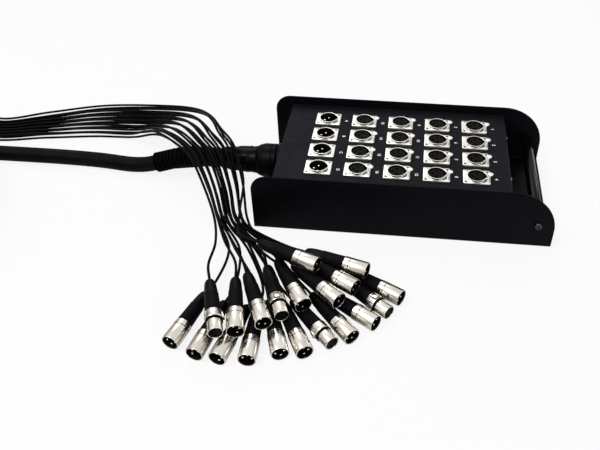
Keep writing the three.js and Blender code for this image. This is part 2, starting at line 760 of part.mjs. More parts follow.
function addPlugs() {
  const male = geometryOf(malePlug());
  const female = geometryOf(femalePlug());
  const button = geometryOf(plugButton());
  for (const tail of tails) {
    const heading = tail.heading * THREE.MathUtils.DEG2RAD;
    const turn = (buttonTurns[tail.plug] ?? 0) * THREE.MathUtils.DEG2RAD;
    const number = String(tail.plug).padStart(2, '0');
    const lying = new THREE.Group();
    const [x, y, z] = tail.tip;
    lying.position.set(x + fitGap * Math.cos(heading), y + fitGap * Math.sin(heading), z);
    const headed = new THREE.Quaternion().setFromAxisAngle(vec(0, 0, 1), heading);
    const laid = new THREE.Quaternion().setFromAxisAngle(vec(0, 1, 0), Math.PI / 2);
    const rolled = new THREE.Quaternion().setFromAxisAngle(vec(0, 0, 1), Math.PI + turn);
    lying.quaternion.copy(headed).multiply(laid).multiply(rolled);
    stageBoxSnake.add(lying);
    const isFemale = tail.plug in buttonTurns;
    addPiece(`${isFemale ? 'female' : 'male'}_plug_${number}`, isFemale ? female : male, 'nickel', lying);
    if (isFemale) {
      addPiece(`plug_button_${number}`, button, 'nickel', lying);
    }
  }
}

// Wiring loom: a trunk from the gland, an arm under each column and a stub to each connector

function makeLoom() {
  const trunkStart = panelLeft + panelSheet + shankReach + fitGap;
  const places = gridPlaces();
  const lastX = places[places.length - 1].x;
  const lay = moved(0, 0, loomHeight).multiply(new THREE.Matrix4().makeRotationY(Math.PI / 2));
  let loom = rod(loomRadius, trunkStart, lastX + loomArmRadius, loomSides, lay);
  const reach = (rows - 1) / 2 * rowPitch + loomStubRadius;
  for (const { row, x, y } of places) {
    if (row === 0) {
      loom = loom.add(rod(loomArmRadius, -reach, reach, pinSides, alongWidth(x, loomHeight)));
    }
    loom = loom.add(rod(loomStubRadius, loomHeight, housingBottom - fitGap, pinSides, moved(x, y, 0)));
  }
  return loom;
}

addPiece('chassis', makeChassis(), 'blackSteel');
addPiece('connector_panel', makePanel(), 'blackPanel');
addPanelConnectors();
addHandle();
addCableEntry();
addPiece('inner_loom', makeLoom(), 'blackRubber');
addPiece('bend_relief', makeBendRelief(), 'blackRubber');
addPiece('multicore_lead', tube(leadPoints(), multicoreRadius, multicoreSides), 'blackRubber');
addPiece('multicore_coil', makeCoil(), 'blackRubber');
addPiece('multicore_end', tube(endRoute, multicoreRadius, multicoreSides), 'blackRubber');
addPiece('breakout_sleeve', makeBreakout(), 'blackPlastic');
addPiece('fanout_tails', makeTails(), 'blackRubber');
addPlugs();

export default stageBoxSnake;
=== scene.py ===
import math

import bmesh
import bpy
from mathutils import Matrix, Vector, noise


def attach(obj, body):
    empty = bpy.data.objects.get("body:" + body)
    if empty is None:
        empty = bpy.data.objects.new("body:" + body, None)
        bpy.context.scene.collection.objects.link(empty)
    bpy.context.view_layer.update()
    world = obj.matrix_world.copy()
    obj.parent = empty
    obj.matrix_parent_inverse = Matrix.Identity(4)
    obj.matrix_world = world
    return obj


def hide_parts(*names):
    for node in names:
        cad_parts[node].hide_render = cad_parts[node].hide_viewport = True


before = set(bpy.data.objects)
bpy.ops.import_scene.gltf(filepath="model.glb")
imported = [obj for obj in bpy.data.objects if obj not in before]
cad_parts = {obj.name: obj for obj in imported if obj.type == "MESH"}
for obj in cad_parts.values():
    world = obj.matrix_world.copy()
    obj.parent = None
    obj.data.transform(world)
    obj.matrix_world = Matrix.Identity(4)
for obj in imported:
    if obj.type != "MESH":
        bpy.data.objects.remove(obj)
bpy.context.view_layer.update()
print("frame loaded,", len(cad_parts), "nodes")

fitGap = 0.0003
tiny = 1e-6
quarterTurn = math.pi / 2
white = (1, 1, 1, 1)


def linked(name, data):
    # puts an object with this data into the scene
    item = bpy.data.objects.new(name, data)
    bpy.context.scene.collection.objects.link(item)
    return item


# Camera, floor and light

view = {
    "place": (0.0002, -0.7362, 0.5835),
    "azimuth": math.radians(5.97),
    "elevation": math.radians(41.2),
    "lens": 44.03,
    "sensor": 36,
    "shift": -0.072,
    "clip": (0.02, 30),
}


def makeCamera():
    lens = bpy.data.cameras.new("photoCamera")
    lens.sensor_width = view["sensor"]
    lens.lens = view["lens"]
    lens.shift_x = view["shift"]
    lens.clip_start, lens.clip_end = view["clip"]
    camera = linked("photoCamera", lens)
    level = math.cos(view["elevation"])
    back = Vector((
        math.sin(view["azimuth"]) * level,
        -math.cos(view["azimuth"]) * level,
        math.sin(view["elevation"]),
    ))
    camera.location = view["place"]
    camera.rotation_mode = "QUATERNION"
    camera.rotation_quaternion = (-back).to_track_quat("-Z", "Y")
    bpy.context.scene.camera = camera


def addNode(tree, kind, values=(), sources=(), **settings):
    # a shader node with its settings, its fixed inputs and what feeds the others
    node = tree.nodes.new(kind)
    for key, setting in settings.items():
        setattr(node, key, setting)
    for key, value in dict(values).items():
        node.inputs[key].default_value = value
    for key, source in dict(sources).items():
        tree.links.new(source, node.inputs[key])
    return node


def cameraSeesWhite(tree):
    # 1 for the eye, also through glass, and a second output that is 1 for what metal mirrors
    path = addNode(tree, "ShaderNodeLightPath").outputs
    either = addNode(tree, "ShaderNodeMath", operation="MAXIMUM",
                     sources={0: path["Is Camera Ray"], 1: path["Is Transmission Ray"]})
    return either.outputs[0], path["Is Glossy Ray"]


studio = {
    "floorSide": 24,
    "floorColor": (0.85, 0.85, 0.85, 1),
    "floorRoughness": 0.9,
    "floorGlow": 0.86,
    "ambient": 0.5,
    "horizon": (0.24, 0.2, 0.17, 1),
    "horizonTop": 0.14,
    "zenithFrom": 0.6,
    "lamps": [
        ("keyLamp", (-1.1, -0.9, 2.3), 1.5, 34),
        ("rearLamp", (-0.9, 1.8, 2.2), 1.6, 14),
        ("frontLamp", (1.5, -1.9, 1.1), 1.2, 10),
        ("edgeLamp", (1.5, 1.75, 0.75), 0.5, 3),
    ],
}


def makeFloor():
    bm = bmesh.new()
    bmesh.ops.create_grid(bm, x_segments=1, y_segments=1, size=studio["floorSide"] / 2)
    mesh = bpy.data.meshes.new("floor")
    bm.to_mesh(mesh)
    bm.free()
    paper = bpy.data.materials.new("whitePaper")
    paper.use_nodes = True
    tree = paper.node_tree
    shader = tree.nodes["Principled BSDF"]
    shader.inputs["Base Color"].default_value = studio["floorColor"]
    shader.inputs["Roughness"].default_value = studio["floorRoughness"]
    glow = addNode(tree, "ShaderNodeEmission", {"Color": white})
    seen, mirrored = cameraSeesWhite(tree)
    share = addNode(tree, "ShaderNodeMath", {1: studio["floorGlow"]}, {0: seen}, operation="MULTIPLY")
    mix = addNode(tree, "ShaderNodeMixShader",
                  sources={0: share.outputs[0], 1: shader.outputs[0], 2: glow.outputs[0]})
    tree.links.new(mix.outputs[0], tree.nodes["Material Output"].inputs["Surface"])
    mesh.materials.append(paper)
    linked("floor", mesh)


def makeRoom():
    # white where the camera looks past the floor; metal mirrors a room that darkens towards the horizon
    world = bpy.data.worlds.new("studio")
    bpy.context.scene.world = world
    world.use_nodes = True
    tree = world.node_tree
    seen, mirrored = cameraSeesWhite(tree)
    direction = addNode(tree, "ShaderNodeTexCoord").outputs["Generated"]
    height = addNode(tree, "ShaderNodeSeparateXYZ", sources={0: direction}).outputs["Z"]
    span = {"From Min": studio["horizonTop"], "From Max": studio["zenithFrom"]}
    rise = addNode(tree, "ShaderNodeMapRange", span, {"Value": height})
    bright = addNode(tree, "ShaderNodeMath", sources={0: rise.outputs[0], 1: seen}, operation="MAXIMUM")
    room = addNode(tree, "ShaderNodeMix", {"A": studio["horizon"], "B": white},
                   {"Factor": bright.outputs[0]}, data_type="RGBA")
    sky = tree.nodes["Background"]
    tree.links.new(next(o for o in room.outputs if o.type == "RGBA"), sky.inputs["Color"])
    full = addNode(tree, "ShaderNodeMath", sources={0: seen, 1: mirrored}, operation="MAXIMUM")
    strength = addNode(tree, "ShaderNodeMapRange", {"To Min": studio["ambient"], "To Max": 1},
                       {"Value": full.outputs[0]})
    tree.links.new(strength.outputs[0], sky.inputs["Strength"])


def makeLamps():
    for name, place, size, power in studio["lamps"]:
        light = bpy.data.lights.new(name, "AREA")
        light.shape = "DISK"
        light.size = size
        light.energy = power
        lamp = linked(name, light)
        lamp.location = place
        lamp.rotation_mode = "QUATERNION"
        lamp.rotation_quaternion = Vector(place).to_track_quat("Z", "Y")


makeCamera()
makeFloor()
makeRoom()
makeLamps()
bpy.context.scene.view_settings.view_transform = "Standard"
print("camera and studio ready")


# Finishes: each has a mottled colour, a roughness that varies and a fine grain, in object coordinates

kinds = {
    "coat": {"sheen": (0.78, 0.8, 1), "metallic": 0, "mottle": (9, 5), "wear": (60, 4),
             "spread": (-0.07, 0.08), "grain": (1500, 2), "lift": (0.35, 0.00006)},
    "metal": {"sheen": (1, 1, 1), "metallic": 1, "mottle": (28, 2), "wear": (160, 2),
              "spread": (-0.02, 0.04), "grain": (2600, 1), "lift": (0.05, 0.000004)},
    "plastic": {"sheen": (1, 1, 1), "metallic": 0, "mottle": (30, 4), "wear": (90, 3),
                "spread": (-0.06, 0.08), "grain": (1100, 2), "lift": (0.3, 0.00005)},
    "jacket": {"sheen": (0.82, 0.85, 1), "metallic": 0, "mottle": (22, 5), "wear": (55, 4),
               "spread": (-0.08, 0.12), "grain": (420, 4), "lift": (0.35, 0.00009)},
}
mottleShares = (0.35, 0.68)
wearShares = (0.3, 0.7)


def noiseOf(tree, scale, detail):
    place = addNode(tree, "ShaderNodeTexCoord").outputs["Object"]
    grain = addNode(tree, "ShaderNodeTexNoise", {"Scale": scale, "Detail": detail}, {"Vector": place})
    return grain.outputs["Fac"]


def makeFinish(name, kind, dark, light, roughness, specular=0.5, grain=None):
    finish = bpy.data.materials.new(name)
    finish.use_nodes = True
    tree = finish.node_tree
    shader = tree.nodes["Principled BSDF"].inputs
    shader["Base Color"].default_value = (*light, 1)
    shader["Roughness"].default_value = roughness
    shader["Metallic"].default_value = kind["metallic"]
    shader["Specular IOR Level"].default_value = specular
    shader["Specular Tint"].default_value = (*kind["sheen"], 1)

    ramp = addNode(tree, "ShaderNodeValToRGB", sources={0: noiseOf(tree, *kind["mottle"])})
    for stop, share, color in zip(ramp.color_ramp.elements, mottleShares, (dark, light)):
        stop.position = share
        stop.color = (*color, 1)
    tree.links.new(ramp.outputs[0], shader["Base Color"])

    smoother, rougher = kind["spread"]
    wear = {"From Min": wearShares[0], "From Max": wearShares[1],
            "To Min": roughness + smoother, "To Max": roughness + rougher}
    worn = addNode(tree, "ShaderNodeMapRange", wear, {"Value": noiseOf(tree, *kind["wear"])})
    tree.links.new(worn.outputs[0], shader["Roughness"])

    scale, detail = kind["grain"]
    strength, depth = kind["lift"]
    bump = addNode(tree, "ShaderNodeBump", {"Strength": strength, "Distance": depth},
                   {"Height": noiseOf(tree, grain or scale, detail)})
    tree.links.new(bump.outputs[0], shader["Normal"])
    return finish


# by slot and kind: name, dark and light colour, roughness, then specular level and grain where they differ
finishRows = {
    ("black_steel", "coat"): [
        ("chassisCoat", (0.0012, 0.0011, 0.0018), (0.0022, 0.0019, 0.003), 0.5, 0.07),
    ],
    ("black_panel", "coat"): [
        ("panelCoat", (0.0055, 0.0052, 0.0072), (0.0074, 0.007, 0.0095), 0.5, 0.07),
    ],
    ("nickel", "metal"): [
        ("flangeNickel", (0.84, 0.82, 0.77), (0.92, 0.9, 0.85), 0.3),
        # the push tab's nickel is the flange's nickel painted lighter: a painted highlight on the raised tab
        ("tabNickelPaintedBright", (0.92, 0.91, 0.88), (0.96, 0.95, 0.93), 0.4),
        ("shellNickel", (0.62, 0.58, 0.515), (0.79, 0.755, 0.695), 0.22),
        ("pinNickel", (0.85, 0.84, 0.8), (0.93, 0.92, 0.88), 0.12),
    ],
    ("steel", "metal"): [
        ("screwSteel", (0.16, 0.16, 0.16), (0.3, 0.3, 0.31), 0.34),
        ("boltSteel", (0.035, 0.035, 0.042), (0.08, 0.08, 0.095), 0.24),
    ],
    ("brass", "metal"): [
        ("nutBrass", (0.45, 0.33, 0.13), (0.62, 0.48, 0.22), 0.3),
    ],
    ("black_plastic", "plastic"): [
        ("insertBlack", (0.0018, 0.0017, 0.002), (0.0032, 0.003, 0.0036), 0.5, 0.06),
        ("bootBlack", (0.0025, 0.0025, 0.0036), (0.0042, 0.0041, 0.0058), 0.55, 0.05, 700),
        ("bootTipBlack", (0.001, 0.001, 0.0013), (0.002, 0.002, 0.0026), 0.45, 0.08, 700),
        ("handleBlack", (0.0012, 0.0012, 0.0015), (0.002, 0.002, 0.0024), 0.17, 0.1),
        ("glandBlack", (0.0008, 0.0008, 0.001), (0.0014, 0.0014, 0.0018), 0.36, 0.05),
        ("shrinkBlack", (0.0004, 0.0004, 0.0005), (0.0009, 0.0009, 0.0011), 0.16, 0.07, 420),
    ],
    ("black_rubber", "plastic"): [
        ("reliefBlack", (0.0006, 0.0006, 0.0009), (0.0012, 0.0012, 0.0016), 0.55, 0.04),
    ],
    ("black_rubber", "jacket"): [
        ("multicoreJacket", (0.0014, 0.0014, 0.0021), (0.0028, 0.0027, 0.0038), 0.5, 0.06),
        ("tailJacket", (0.0005, 0.0005, 0.0007), (0.0013, 0.0013, 0.0018), 0.42, 0.06),
    ],
    ("nickel", "plastic"): [
        ("printWhite", (0.8, 0.8, 0.8), (0.92, 0.92, 0.92), 0.5),
    ],
}
finishes = {}
for (slot, kind), rows in finishRows.items():
    for name, *look in rows:
        finishes[name] = (makeFinish(name, kinds[kind], *look), slot)
print("finishes ready")


# Shape helpers: a shape is drawn in its own place with bmesh, then laid where the model says

smoothUpTo = 38
bevelAbove = math.radians(40)


def finishEdges(bm, crease):
    bmesh.ops.remove_doubles(bm, verts=bm.verts, dist=tiny)
    bmesh.ops.recalc_face_normals(bm, faces=bm.faces)
    for face in bm.faces:
        face.smooth = True
    for edge in bm.edges:
        if len(edge.link_faces) == 2:
            edge.smooth = edge.calc_face_angle(0) < math.radians(crease)


def addPiece(name, draw, finish, replaces=(), place=None, crease=smoothUpTo, body="root"):
    bm = bmesh.new()
    draw(bm)
    finishEdges(bm, crease)
    if place is not None:
        bmesh.ops.transform(bm, matrix=place, verts=bm.verts)
    mesh = bpy.data.meshes.new(name)
    bm.to_mesh(mesh)
    bm.free()
    material, slot = finishes[finish]
    mesh.materials.append(material)
    piece = linked(name, mesh)
    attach(piece, body)
    if replaces:
        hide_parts(*replaces)
    return piece


def moved(x, y, z=0.0):
    return Matrix.Translation((x, y, z))


def turned(angle, axis):
    return Matrix.Rotation(angle, 4, axis)


def corner(radius, height, offsets):
    # profile points, given by how far they lie outwards and upwards from a corner
    return [(radius + out, height + up) for out, up in offsets]


def spinProfile(bm, points, steps, place=None):
    # points are (radius, height); a profile that meets the axis closes there, others close on themselves
    verts = [bm.verts.new((radius, 0, height)) for radius, height in points]
    edges = [bm.edges.new(pair) for pair in zip(verts, verts[1:])]
    if points[0][0] > 0:
        edges.append(bm.edges.new((verts[-1], verts[0])))
    before = set(bm.verts) - set(verts)
    bmesh.ops.spin(bm, geom=verts + edges, cent=(0, 0, 0), axis=(0, 0, 1), angle=2 * math.pi,
                   steps=steps, use_merge=True)
    fresh = [v for v in bm.verts if v not in before]
    bmesh.ops.remove_doubles(bm, verts=fresh, dist=tiny)
    fresh = [v for v in bm.verts if v not in before]
    if place is not None:
        bmesh.ops.transform(bm, matrix=place, verts=fresh)
    return fresh


def spun(points, steps, place=None):
    # for a piece that is one turned shape
    return lambda bm: spinProfile(bm, points, steps, place)


def tubeProfile(outer, bore):
    # closes an outer line of (radius, height) points with a straight bore
    return outer + [(bore, outer[-1][1]), (bore, outer[0][1])]


def bevel(bm, geom, offset, segments, affect="EDGES", clamp=False):
    bmesh.ops.bevel(bm, geom=geom, offset=offset, offset_type="OFFSET", affect=affect, segments=segments,
                    profile=0.5, material=-1, clamp_overlap=clamp)


def bevelSharp(bm, offset):
    sharp = [e for e in bm.edges if len(e.link_faces) == 2 and e.calc_face_angle(0) > bevelAbove]
    bevel(bm, sharp, offset, 2, clamp=True)


def plate(bm, low, high):
    middle = (Vector(low) + Vector(high)) / 2
    size = Vector(high) - Vector(low)
    grown = Matrix.Translation(middle) @ Matrix.Diagonal((*size, 1))
    return bmesh.ops.create_cube(bm, size=1, matrix=grown)["verts"]


def capsule(radius, bottom, top, rounding):
    # a round bar's profile with softly rounded ends
    cut = rounding * 0.3
    return [(0, bottom), (radius - rounding, bottom), (radius - cut, bottom + cut),
            (radius, bottom + rounding), (radius, top - rounding), (radius - cut, top - cut),
            (radius - rounding, top), (0, top)]


def loopOf(bm, points):
    verts = [bm.verts.new(p) for p in points]
    return [bm.edges.new(pair) for pair in zip(verts, verts[1:] + verts[:1])]


def circlePoints(radius, steps, centre=(0, 0, 0)):
    x, y, z = centre
    angles = [2 * math.pi * i / steps for i in range(steps)]
    return [(x + radius * math.cos(angle), y + radius * math.sin(angle), z) for angle in angles]


def vertsOf(geom):
    return [g for g in geom if isinstance(g, bmesh.types.BMVert)]


def fill(bm, edges):
    return bmesh.ops.triangle_fill(bm, use_beauty=True, use_dissolve=False, edges=edges)["geom"]


def fillAndSink(bm, edges, depth):
    # fills a flat outline with its holes, then gives it thickness downwards
    faces = [g for g in fill(bm, edges) if isinstance(g, bmesh.types.BMFace)]
    sunk = bmesh.ops.extrude_face_region(bm, geom=faces, use_keep_orig=True)["geom"]
    bmesh.ops.translate(bm, verts=vertsOf(sunk), vec=(0, 0, -depth))


# Cords: a smooth line through the same points as the model's, in metres

def smoothLine(points, steps):
    # centripetal spline through every point, as the model's own curves run
    spots = [Vector(p) for p in points]
    spots.insert(0, spots[0] * 2 - spots[1])
    spots.append(spots[-1] * 2 - spots[-2])
    line = []
    for a, b, c, d in zip(spots, spots[1:], spots[2:], spots[3:]):
        before, across, after = (math.sqrt(step.length) for step in (b - a, c - b, d - c))
        leave = ((b - a) / before - (c - a) / (before + across) + (c - b) / across) * across
        arrive = ((c - b) / across - (d - b) / (across + after) + (d - c) / after) * across
        for step in range(steps):
            t = step / steps
            line.append(b * (2 * t ** 3 - 3 * t ** 2 + 1) + leave * (t ** 3 - 2 * t ** 2 + t)
                        + c * (3 * t ** 2 - 2 * t ** 3) + arrive * (t ** 3 - t ** 2))
    line.append(spots[-2])
    return line


def cordCurve(name, line, form, finish):
    curve = bpy.data.curves.new(name, "CURVE")
    curve.dimensions = "3D"
    curve.bevel_depth = form["diameter"] / 2
    curve.bevel_resolution = form["roundness"]
    curve.use_fill_caps = True
    spline = curve.splines.new("POLY")
    spline.points.add(len(line) - 1)
    for point, spot in zip(spline.points, line):
        point.co = (*spot, 1)
    spline.use_smooth = True
    material, slot = finishes[finish]
    curve.materials.append(material)
    cord = linked(name, curve)
    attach(cord, "root")
    return cord


def lengthOf(line):
    return sum((b - a).length for a, b in zip(line, line[1:]))


cable = {
    "diameter": 0.02,
    "roundness": 6,
    "glandSide": 0.0045,
    "glandHeight": 0.0322,
    "panelEnd": -0.1525,
    "startInGland": 0.0305,
    "turnPitch": 0.0205,
    "turnsPerLayer": 4,
    "layers": 4,
    "climb": 0.25,
    "innerRadius": 0.099,
    "floorRest": 0.0104,
    "coilCentreX": -0.69,
    "coilStartY": 0.012,
    "stepsPerTurn": 40,
    "stepsBetween": 5,
}
glandSpot = (cable["panelEnd"], cable["glandSide"], cable["glandHeight"])

relief = {
    "start": 0.0762,
    "straight": 0.026,
    "bendRadius": 0.13,
    "bendAngle": math.radians(18.5),
    "stations": 6,
    "crest": 0.013,
    "valley": 0.0106,
    "bore": 0.0099,
    "ribs": 18,
    "ribEdge": 0.0003,
    "ribShares": (0.24, 0.3, 0.36, 0.66, 0.72, 0.78),
    "steps": 56,
    "crease": 25,
}
arcLength = relief["bendRadius"] * relief["bendAngle"]
reliefLength = 2 * relief["straight"] + arcLength


def reliefPoint(distance):
    # straight out of the sleeve, down through a bend, then straight again: place and slope
    straight, radius = relief["straight"], relief["bendRadius"]
    angle = min(max(distance - straight, 0), arcLength) / radius
    after = max(distance - straight - arcLength, 0)
    along = min(distance, straight) + radius * math.sin(angle) + after * math.cos(angle)
    drop = radius * (1 - math.cos(angle)) + after * math.sin(angle)
    start = cable["panelEnd"] - relief["start"]
    return Vector((start - along, cable["glandSide"], cable["glandHeight"] - drop)), angle


leadRoute = [
    (-0.334, 0.0046, 0.0135), (-0.348, 0.0052, 0.0114), (-0.363, 0.0066, 0.0105),
    (-0.378, 0.0086, 0.0104), (-0.396, 0.0106, 0.0104), (-0.416, 0.0118, 0.0104),
    (-0.438, 0.0126, 0.0104), (-0.462, 0.013, 0.0104), (-0.488, 0.013, 0.0104),
    (-0.516, 0.0128, 0.0104), (-0.545, 0.0125, 0.0104), (-0.575, 0.0122, 0.0104),
    (-0.605, 0.012, 0.0104), (-0.635, 0.012, 0.0104), (-0.65, 0.012, 0.0104), (-0.6697, 0.012, 0.0104),
]
endRoute = [
    (-0.7103, 0.012, 0.0719), (-0.73, 0.012, 0.0716), (-0.752, 0.013, 0.0696), (-0.775, 0.017, 0.0645),
    (-0.798, 0.025, 0.0565), (-0.819, 0.038, 0.047), (-0.836, 0.055, 0.0375), (-0.847, 0.075, 0.0285),
    (-0.851, 0.096, 0.021), (-0.8472, 0.1211, 0.0156), (-0.8363, 0.1441, 0.0129),
    (-0.8191, 0.1628, 0.0124), (-0.7972, 0.1757, 0.0124), (-0.7725, 0.1817, 0.0124),
    (-0.7471, 0.1801, 0.0124), (-0.73, 0.1746, 0.0124), (-0.7157, 0.1664, 0.0124), (-0.6993, 0.155, 0.0124),
]


def coilLine():
    # winds anticlockwise from its rearmost point, in and out, one layer on the other
    turns, layers, pitch, climb = cable["turnsPerLayer"], cable["layers"], cable["turnPitch"], cable["climb"]
    outer = cable["innerRadius"] + pitch * turns
    centre = Vector((cable["coilCentreX"], cable["coilStartY"] - outer, 0))
    line = []
    for i in range(turns * layers * cable["stepsPerTurn"] + 1):
        turn = i / cable["stepsPerTurn"]
        layer = min(int(turn // turns), layers - 1)
        within = turn - layer * turns
        reach = turns - within if layer % 2 == 0 else within
        radius = cable["innerRadius"] + pitch * reach
        nearest = round(turn / turns)
        fromChange = turn - nearest * turns
        level = layer
        if 0 < nearest < layers and abs(fromChange) < climb:
            level = nearest - 0.5 + fromChange / (2 * climb)
        angle = quarterTurn + 2 * math.pi * turn
        line.append(centre + Vector((radius * math.cos(angle), radius * math.sin(angle),
                                     cable["floorRest"] + pitch * level)))
    return line


def multicoreLine():
    inGland = [Vector((cable["panelEnd"] - cable["startInGland"], cable["glandSide"], cable["glandHeight"]))]
    stations = relief["stations"]
    inRelief = [reliefPoint(reliefLength * i / stations)[0] for i in range(stations + 1)]
    lead = smoothLine(inGland + inRelief + leadRoute, cable["stepsBetween"])
    return lead + coilLine() + smoothLine(endRoute, cable["stepsBetween"])


multicoreRun = multicoreLine()
multicore = cordCurve("multicore_cable", multicoreRun, cable, "multicoreJacket")
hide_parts("multicore_lead", "multicore_coil", "multicore_end")
print("multicore", round(lengthOf(multicoreRun), 3), "m")


# Tails: shared stations of the bundle (x, y, half its width, height of its lowest layer), then one row each

bundleStations = [
    (-0.6153, 0.0961, 0.0103, 0.0078), (-0.575, 0.072, 0.019, 0.003), (-0.505, 0.09, 0.027, 0.0022),
    (-0.435, 0.108, 0.035, 0.0022), (-0.37, 0.11, 0.039, 0.005), (-0.318, 0.084, 0.04, 0.025),
    (-0.284, 0.043, 0.037, 0.045), (-0.259, 0.01, 0.031, 0.051), (-0.236, -0.018, 0.028, 0.049),
    (-0.218, -0.048, 0.024, 0.024), (-0.204, -0.082, 0.02, 0.003),
]
tail = {
    "diameter": 0.0031,
    "roundness": 3,
    "layerPitch": 0.0046,
    "approach": 0.022,
    "insidePlug": 0.042,
    "rootHeading": math.radians(-35),
    "stepsBetween": 8,
}

# plug, layer, lanes at the start, over the relief and at the end, last station, point passed, boot tip,
# heading
tailRows = [
    (1, 0, (-1, -0.9, -0.75), 10, (-0.196, -0.132, 0.003), (-0.2018, -0.2097, 0.01), -106),
    (2, 2, (-1, -1.1, -1), 10, (-0.211, -0.131, 0.012), (-0.1973, -0.2076, 0.0274), -72),
    (3, 1, (-0.83, -0.8, -0.8), 10, (-0.202, -0.126, 0.01), (-0.1706, -0.2019, 0.0278), -78),
    (4, 2, (-0.67, -0.85, -0.75), 10, (-0.196, -0.122, 0.0125), (-0.1604, -0.1929, 0.027), -65.5),
    (5, 1, (-0.17, -0.1, -0.3), 10, (-0.19, -0.114, 0.0095), (-0.1409, -0.1802, 0.0272), -68),
    (6, 2, (-0.33, -0.6, -0.5), 10, (-0.183, -0.118, 0.015), (-0.1315, -0.1695, 0.0279), -59),
    (7, 0, (-0.67, -0.6, -0.45), 10, (-0.184, -0.13, 0.003), (-0.179, -0.2203, 0.01), -102),
    (8, 1, (-0.5, -0.45, -0.55), 10, (-0.19, -0.132, 0.009), (-0.1541, -0.2237, 0.01), -103),
    (9, 0, (-0.33, -0.3, -0.2), 10, (-0.173, -0.132, 0.003), (-0.1425, -0.2204, 0.01), -89),
    (10, 1, (0.17, 0.2, -0.05), 10, (-0.174, -0.126, 0.008), (-0.134, -0.2136, 0.01), -71),
    (11, 1, (0.5, 0.55, 0.2), 10, (-0.168, -0.122, 0.007), (-0.1206, -0.2138, 0.01), -62),
    (12, 0, (0, 0, 0.05), 10, (-0.166, -0.129, 0.003), (-0.1098, -0.2099, 0.01), -48),
    (13, 1, (0.83, 0.95, 0.6), 10, (-0.166, -0.116, 0.012), (-0.0906, -0.1997, 0.01), -48),
    (14, 0, (0.33, 0.3, 0.3), 10, (-0.16, -0.13, 0.003), (-0.0807, -0.1935, 0.01), -33),
    (15, 0, (0.67, 0.6, 0.6), 10, (-0.172, -0.106, 0.0025), (-0.0635, -0.1712, 0.01), -39),
    (16, 0, (1, 1, 0.95), 10, (-0.171, -0.1, 0.0025), (-0.0585, -0.1587, 0.01), -30),
    (17, 2, (0, -0.25, -0.1), 10, (-0.18, -0.114, 0.013), (-0.1138, -0.1745, 0.0276), -41),
    (18, 2, (0.33, 0.05, 0.25), 10, (-0.181, -0.106, 0.013), (-0.1064, -0.1644, 0.0276), -31),
    (19, 2, (0.67, 0.4, 0.6), 10, (-0.183, -0.098, 0.013), (-0.103, -0.1536, 0.0276), -18),
    (20, 2, (1, 0.85, 1.05), 9, (-0.19, -0.09, 0.026), (-0.1525, -0.1619, 0.0448), -23),
]
femalePlugs = {2: -90, 5: 0, 12: 90, 15: 0}

# which way a male plug's third pin points, in degrees from upwards
thirdPin = {1: 185, 3: 70, 4: 245, 6: 270, 7: 320, 8: 80, 9: 5, 10: 167, 11: 90, 13: 160, 14: 175, 16: 125,
            17: 60, 18: 87, 19: 150, 20: 123}


def onward(angle):
    return Vector((math.cos(angle), math.sin(angle), 0))


def tailLine(row):
    number, layer, lanes, leaves, via, tip, heading = row
    last = len(bundleStations) - 1
    points = []
    for station, (x, y, halfWidth, z) in enumerate(bundleStations[:leaves + 1]):
        before = bundleStations[max(station - 1, 0)]
        after = bundleStations[min(station + 1, last)]
        along = math.atan2(after[1] - before[1], after[0] - before[0]) if station else tail["rootHeading"]
        share = station / last
        if share < 0.5:
            lane = lanes[0] + (lanes[1] - lanes[0]) * share * 2
        else:
            lane = lanes[1] + (lanes[2] - lanes[1]) * (share * 2 - 1)
        aside = halfWidth * lane
        points.append((x - math.sin(along) * aside, y + math.cos(along) * aside,
                       z + layer * tail["layerPitch"]))
    away = onward(math.radians(heading))
    behind = Vector(tip) - away * tail["approach"]
    line = smoothLine([*points, via, behind, tip], tail["stepsBetween"])
    for spot in line:
        spot.z = max(spot.z, tail["diameter"] / 2 + fitGap)
    return [*line, line[-1] + away * tail["insidePlug"]]


for row in tailRows:
    run = tailLine(row)
    cordCurve(f"tail_{row[0]:02d}", run, tail, "tailJacket")
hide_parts("fanout_tails")


# Box: a folded sheet open at both ends, its cheeks rounded at the top

chassis = {
    "length": 0.35,
    "width": 0.177,
    "height": 0.077,
    "sheet": 0.002,
    "fold": 0.0035,
    "foldSteps": 5,
    "handleCorner": 0.052,
    "cableCorner": 0.02,
    "cornerSteps": 14,
    "edge": 0.0004,
}


def foldInward(bm, thickness):
    # gives an open folded sheet its thickness, towards the side that its walls enclose
    bmesh.ops.recalc_face_normals(bm, faces=bm.faces)
    middle = sum((v.co for v in bm.verts), Vector()) / len(bm.verts)
    outward = sum((f.calc_center_median() - middle).dot(f.normal) * f.calc_area() for f in bm.faces)
    if outward < 0:
        bmesh.ops.reverse_faces(bm, faces=bm.faces)
    bmesh.ops.solidify(bm, geom=bm.faces, thickness=thickness)


def chassisSheet(bm):
    length, top = chassis["length"], chassis["height"]
    end, half = length / 2, chassis["width"] / 2
    section = [bm.verts.new((-end, y, z)) for y, z in ((-half, top), (-half, 0), (half, 0), (half, top))]
    sides = [bm.edges.new(pair) for pair in zip(section, section[1:])]
    drawn = bmesh.ops.extrude_edge_only(bm, edges=sides)["geom"]
    bmesh.ops.translate(bm, verts=vertsOf(drawn), vec=(length, 0, 0))
    for side, radius in ((1, chassis["handleCorner"]), (-1, chassis["cableCorner"])):
        tops = [v for v in bm.verts if v.co.z > top - tiny and v.co.x * side > end - tiny]
        bevel(bm, tops, radius, chassis["cornerSteps"], "VERTICES")
    folds = [e for e in bm.edges if e.calc_length() > length - tiny and max(v.co.z for v in e.verts) < tiny]
    bevel(bm, folds, chassis["fold"], chassis["foldSteps"])
    foldInward(bm, chassis["sheet"])
    bevelSharp(bm, chassis["edge"])


# Panel: top sheet with twenty round holes, its ends folded down to the floor of the box

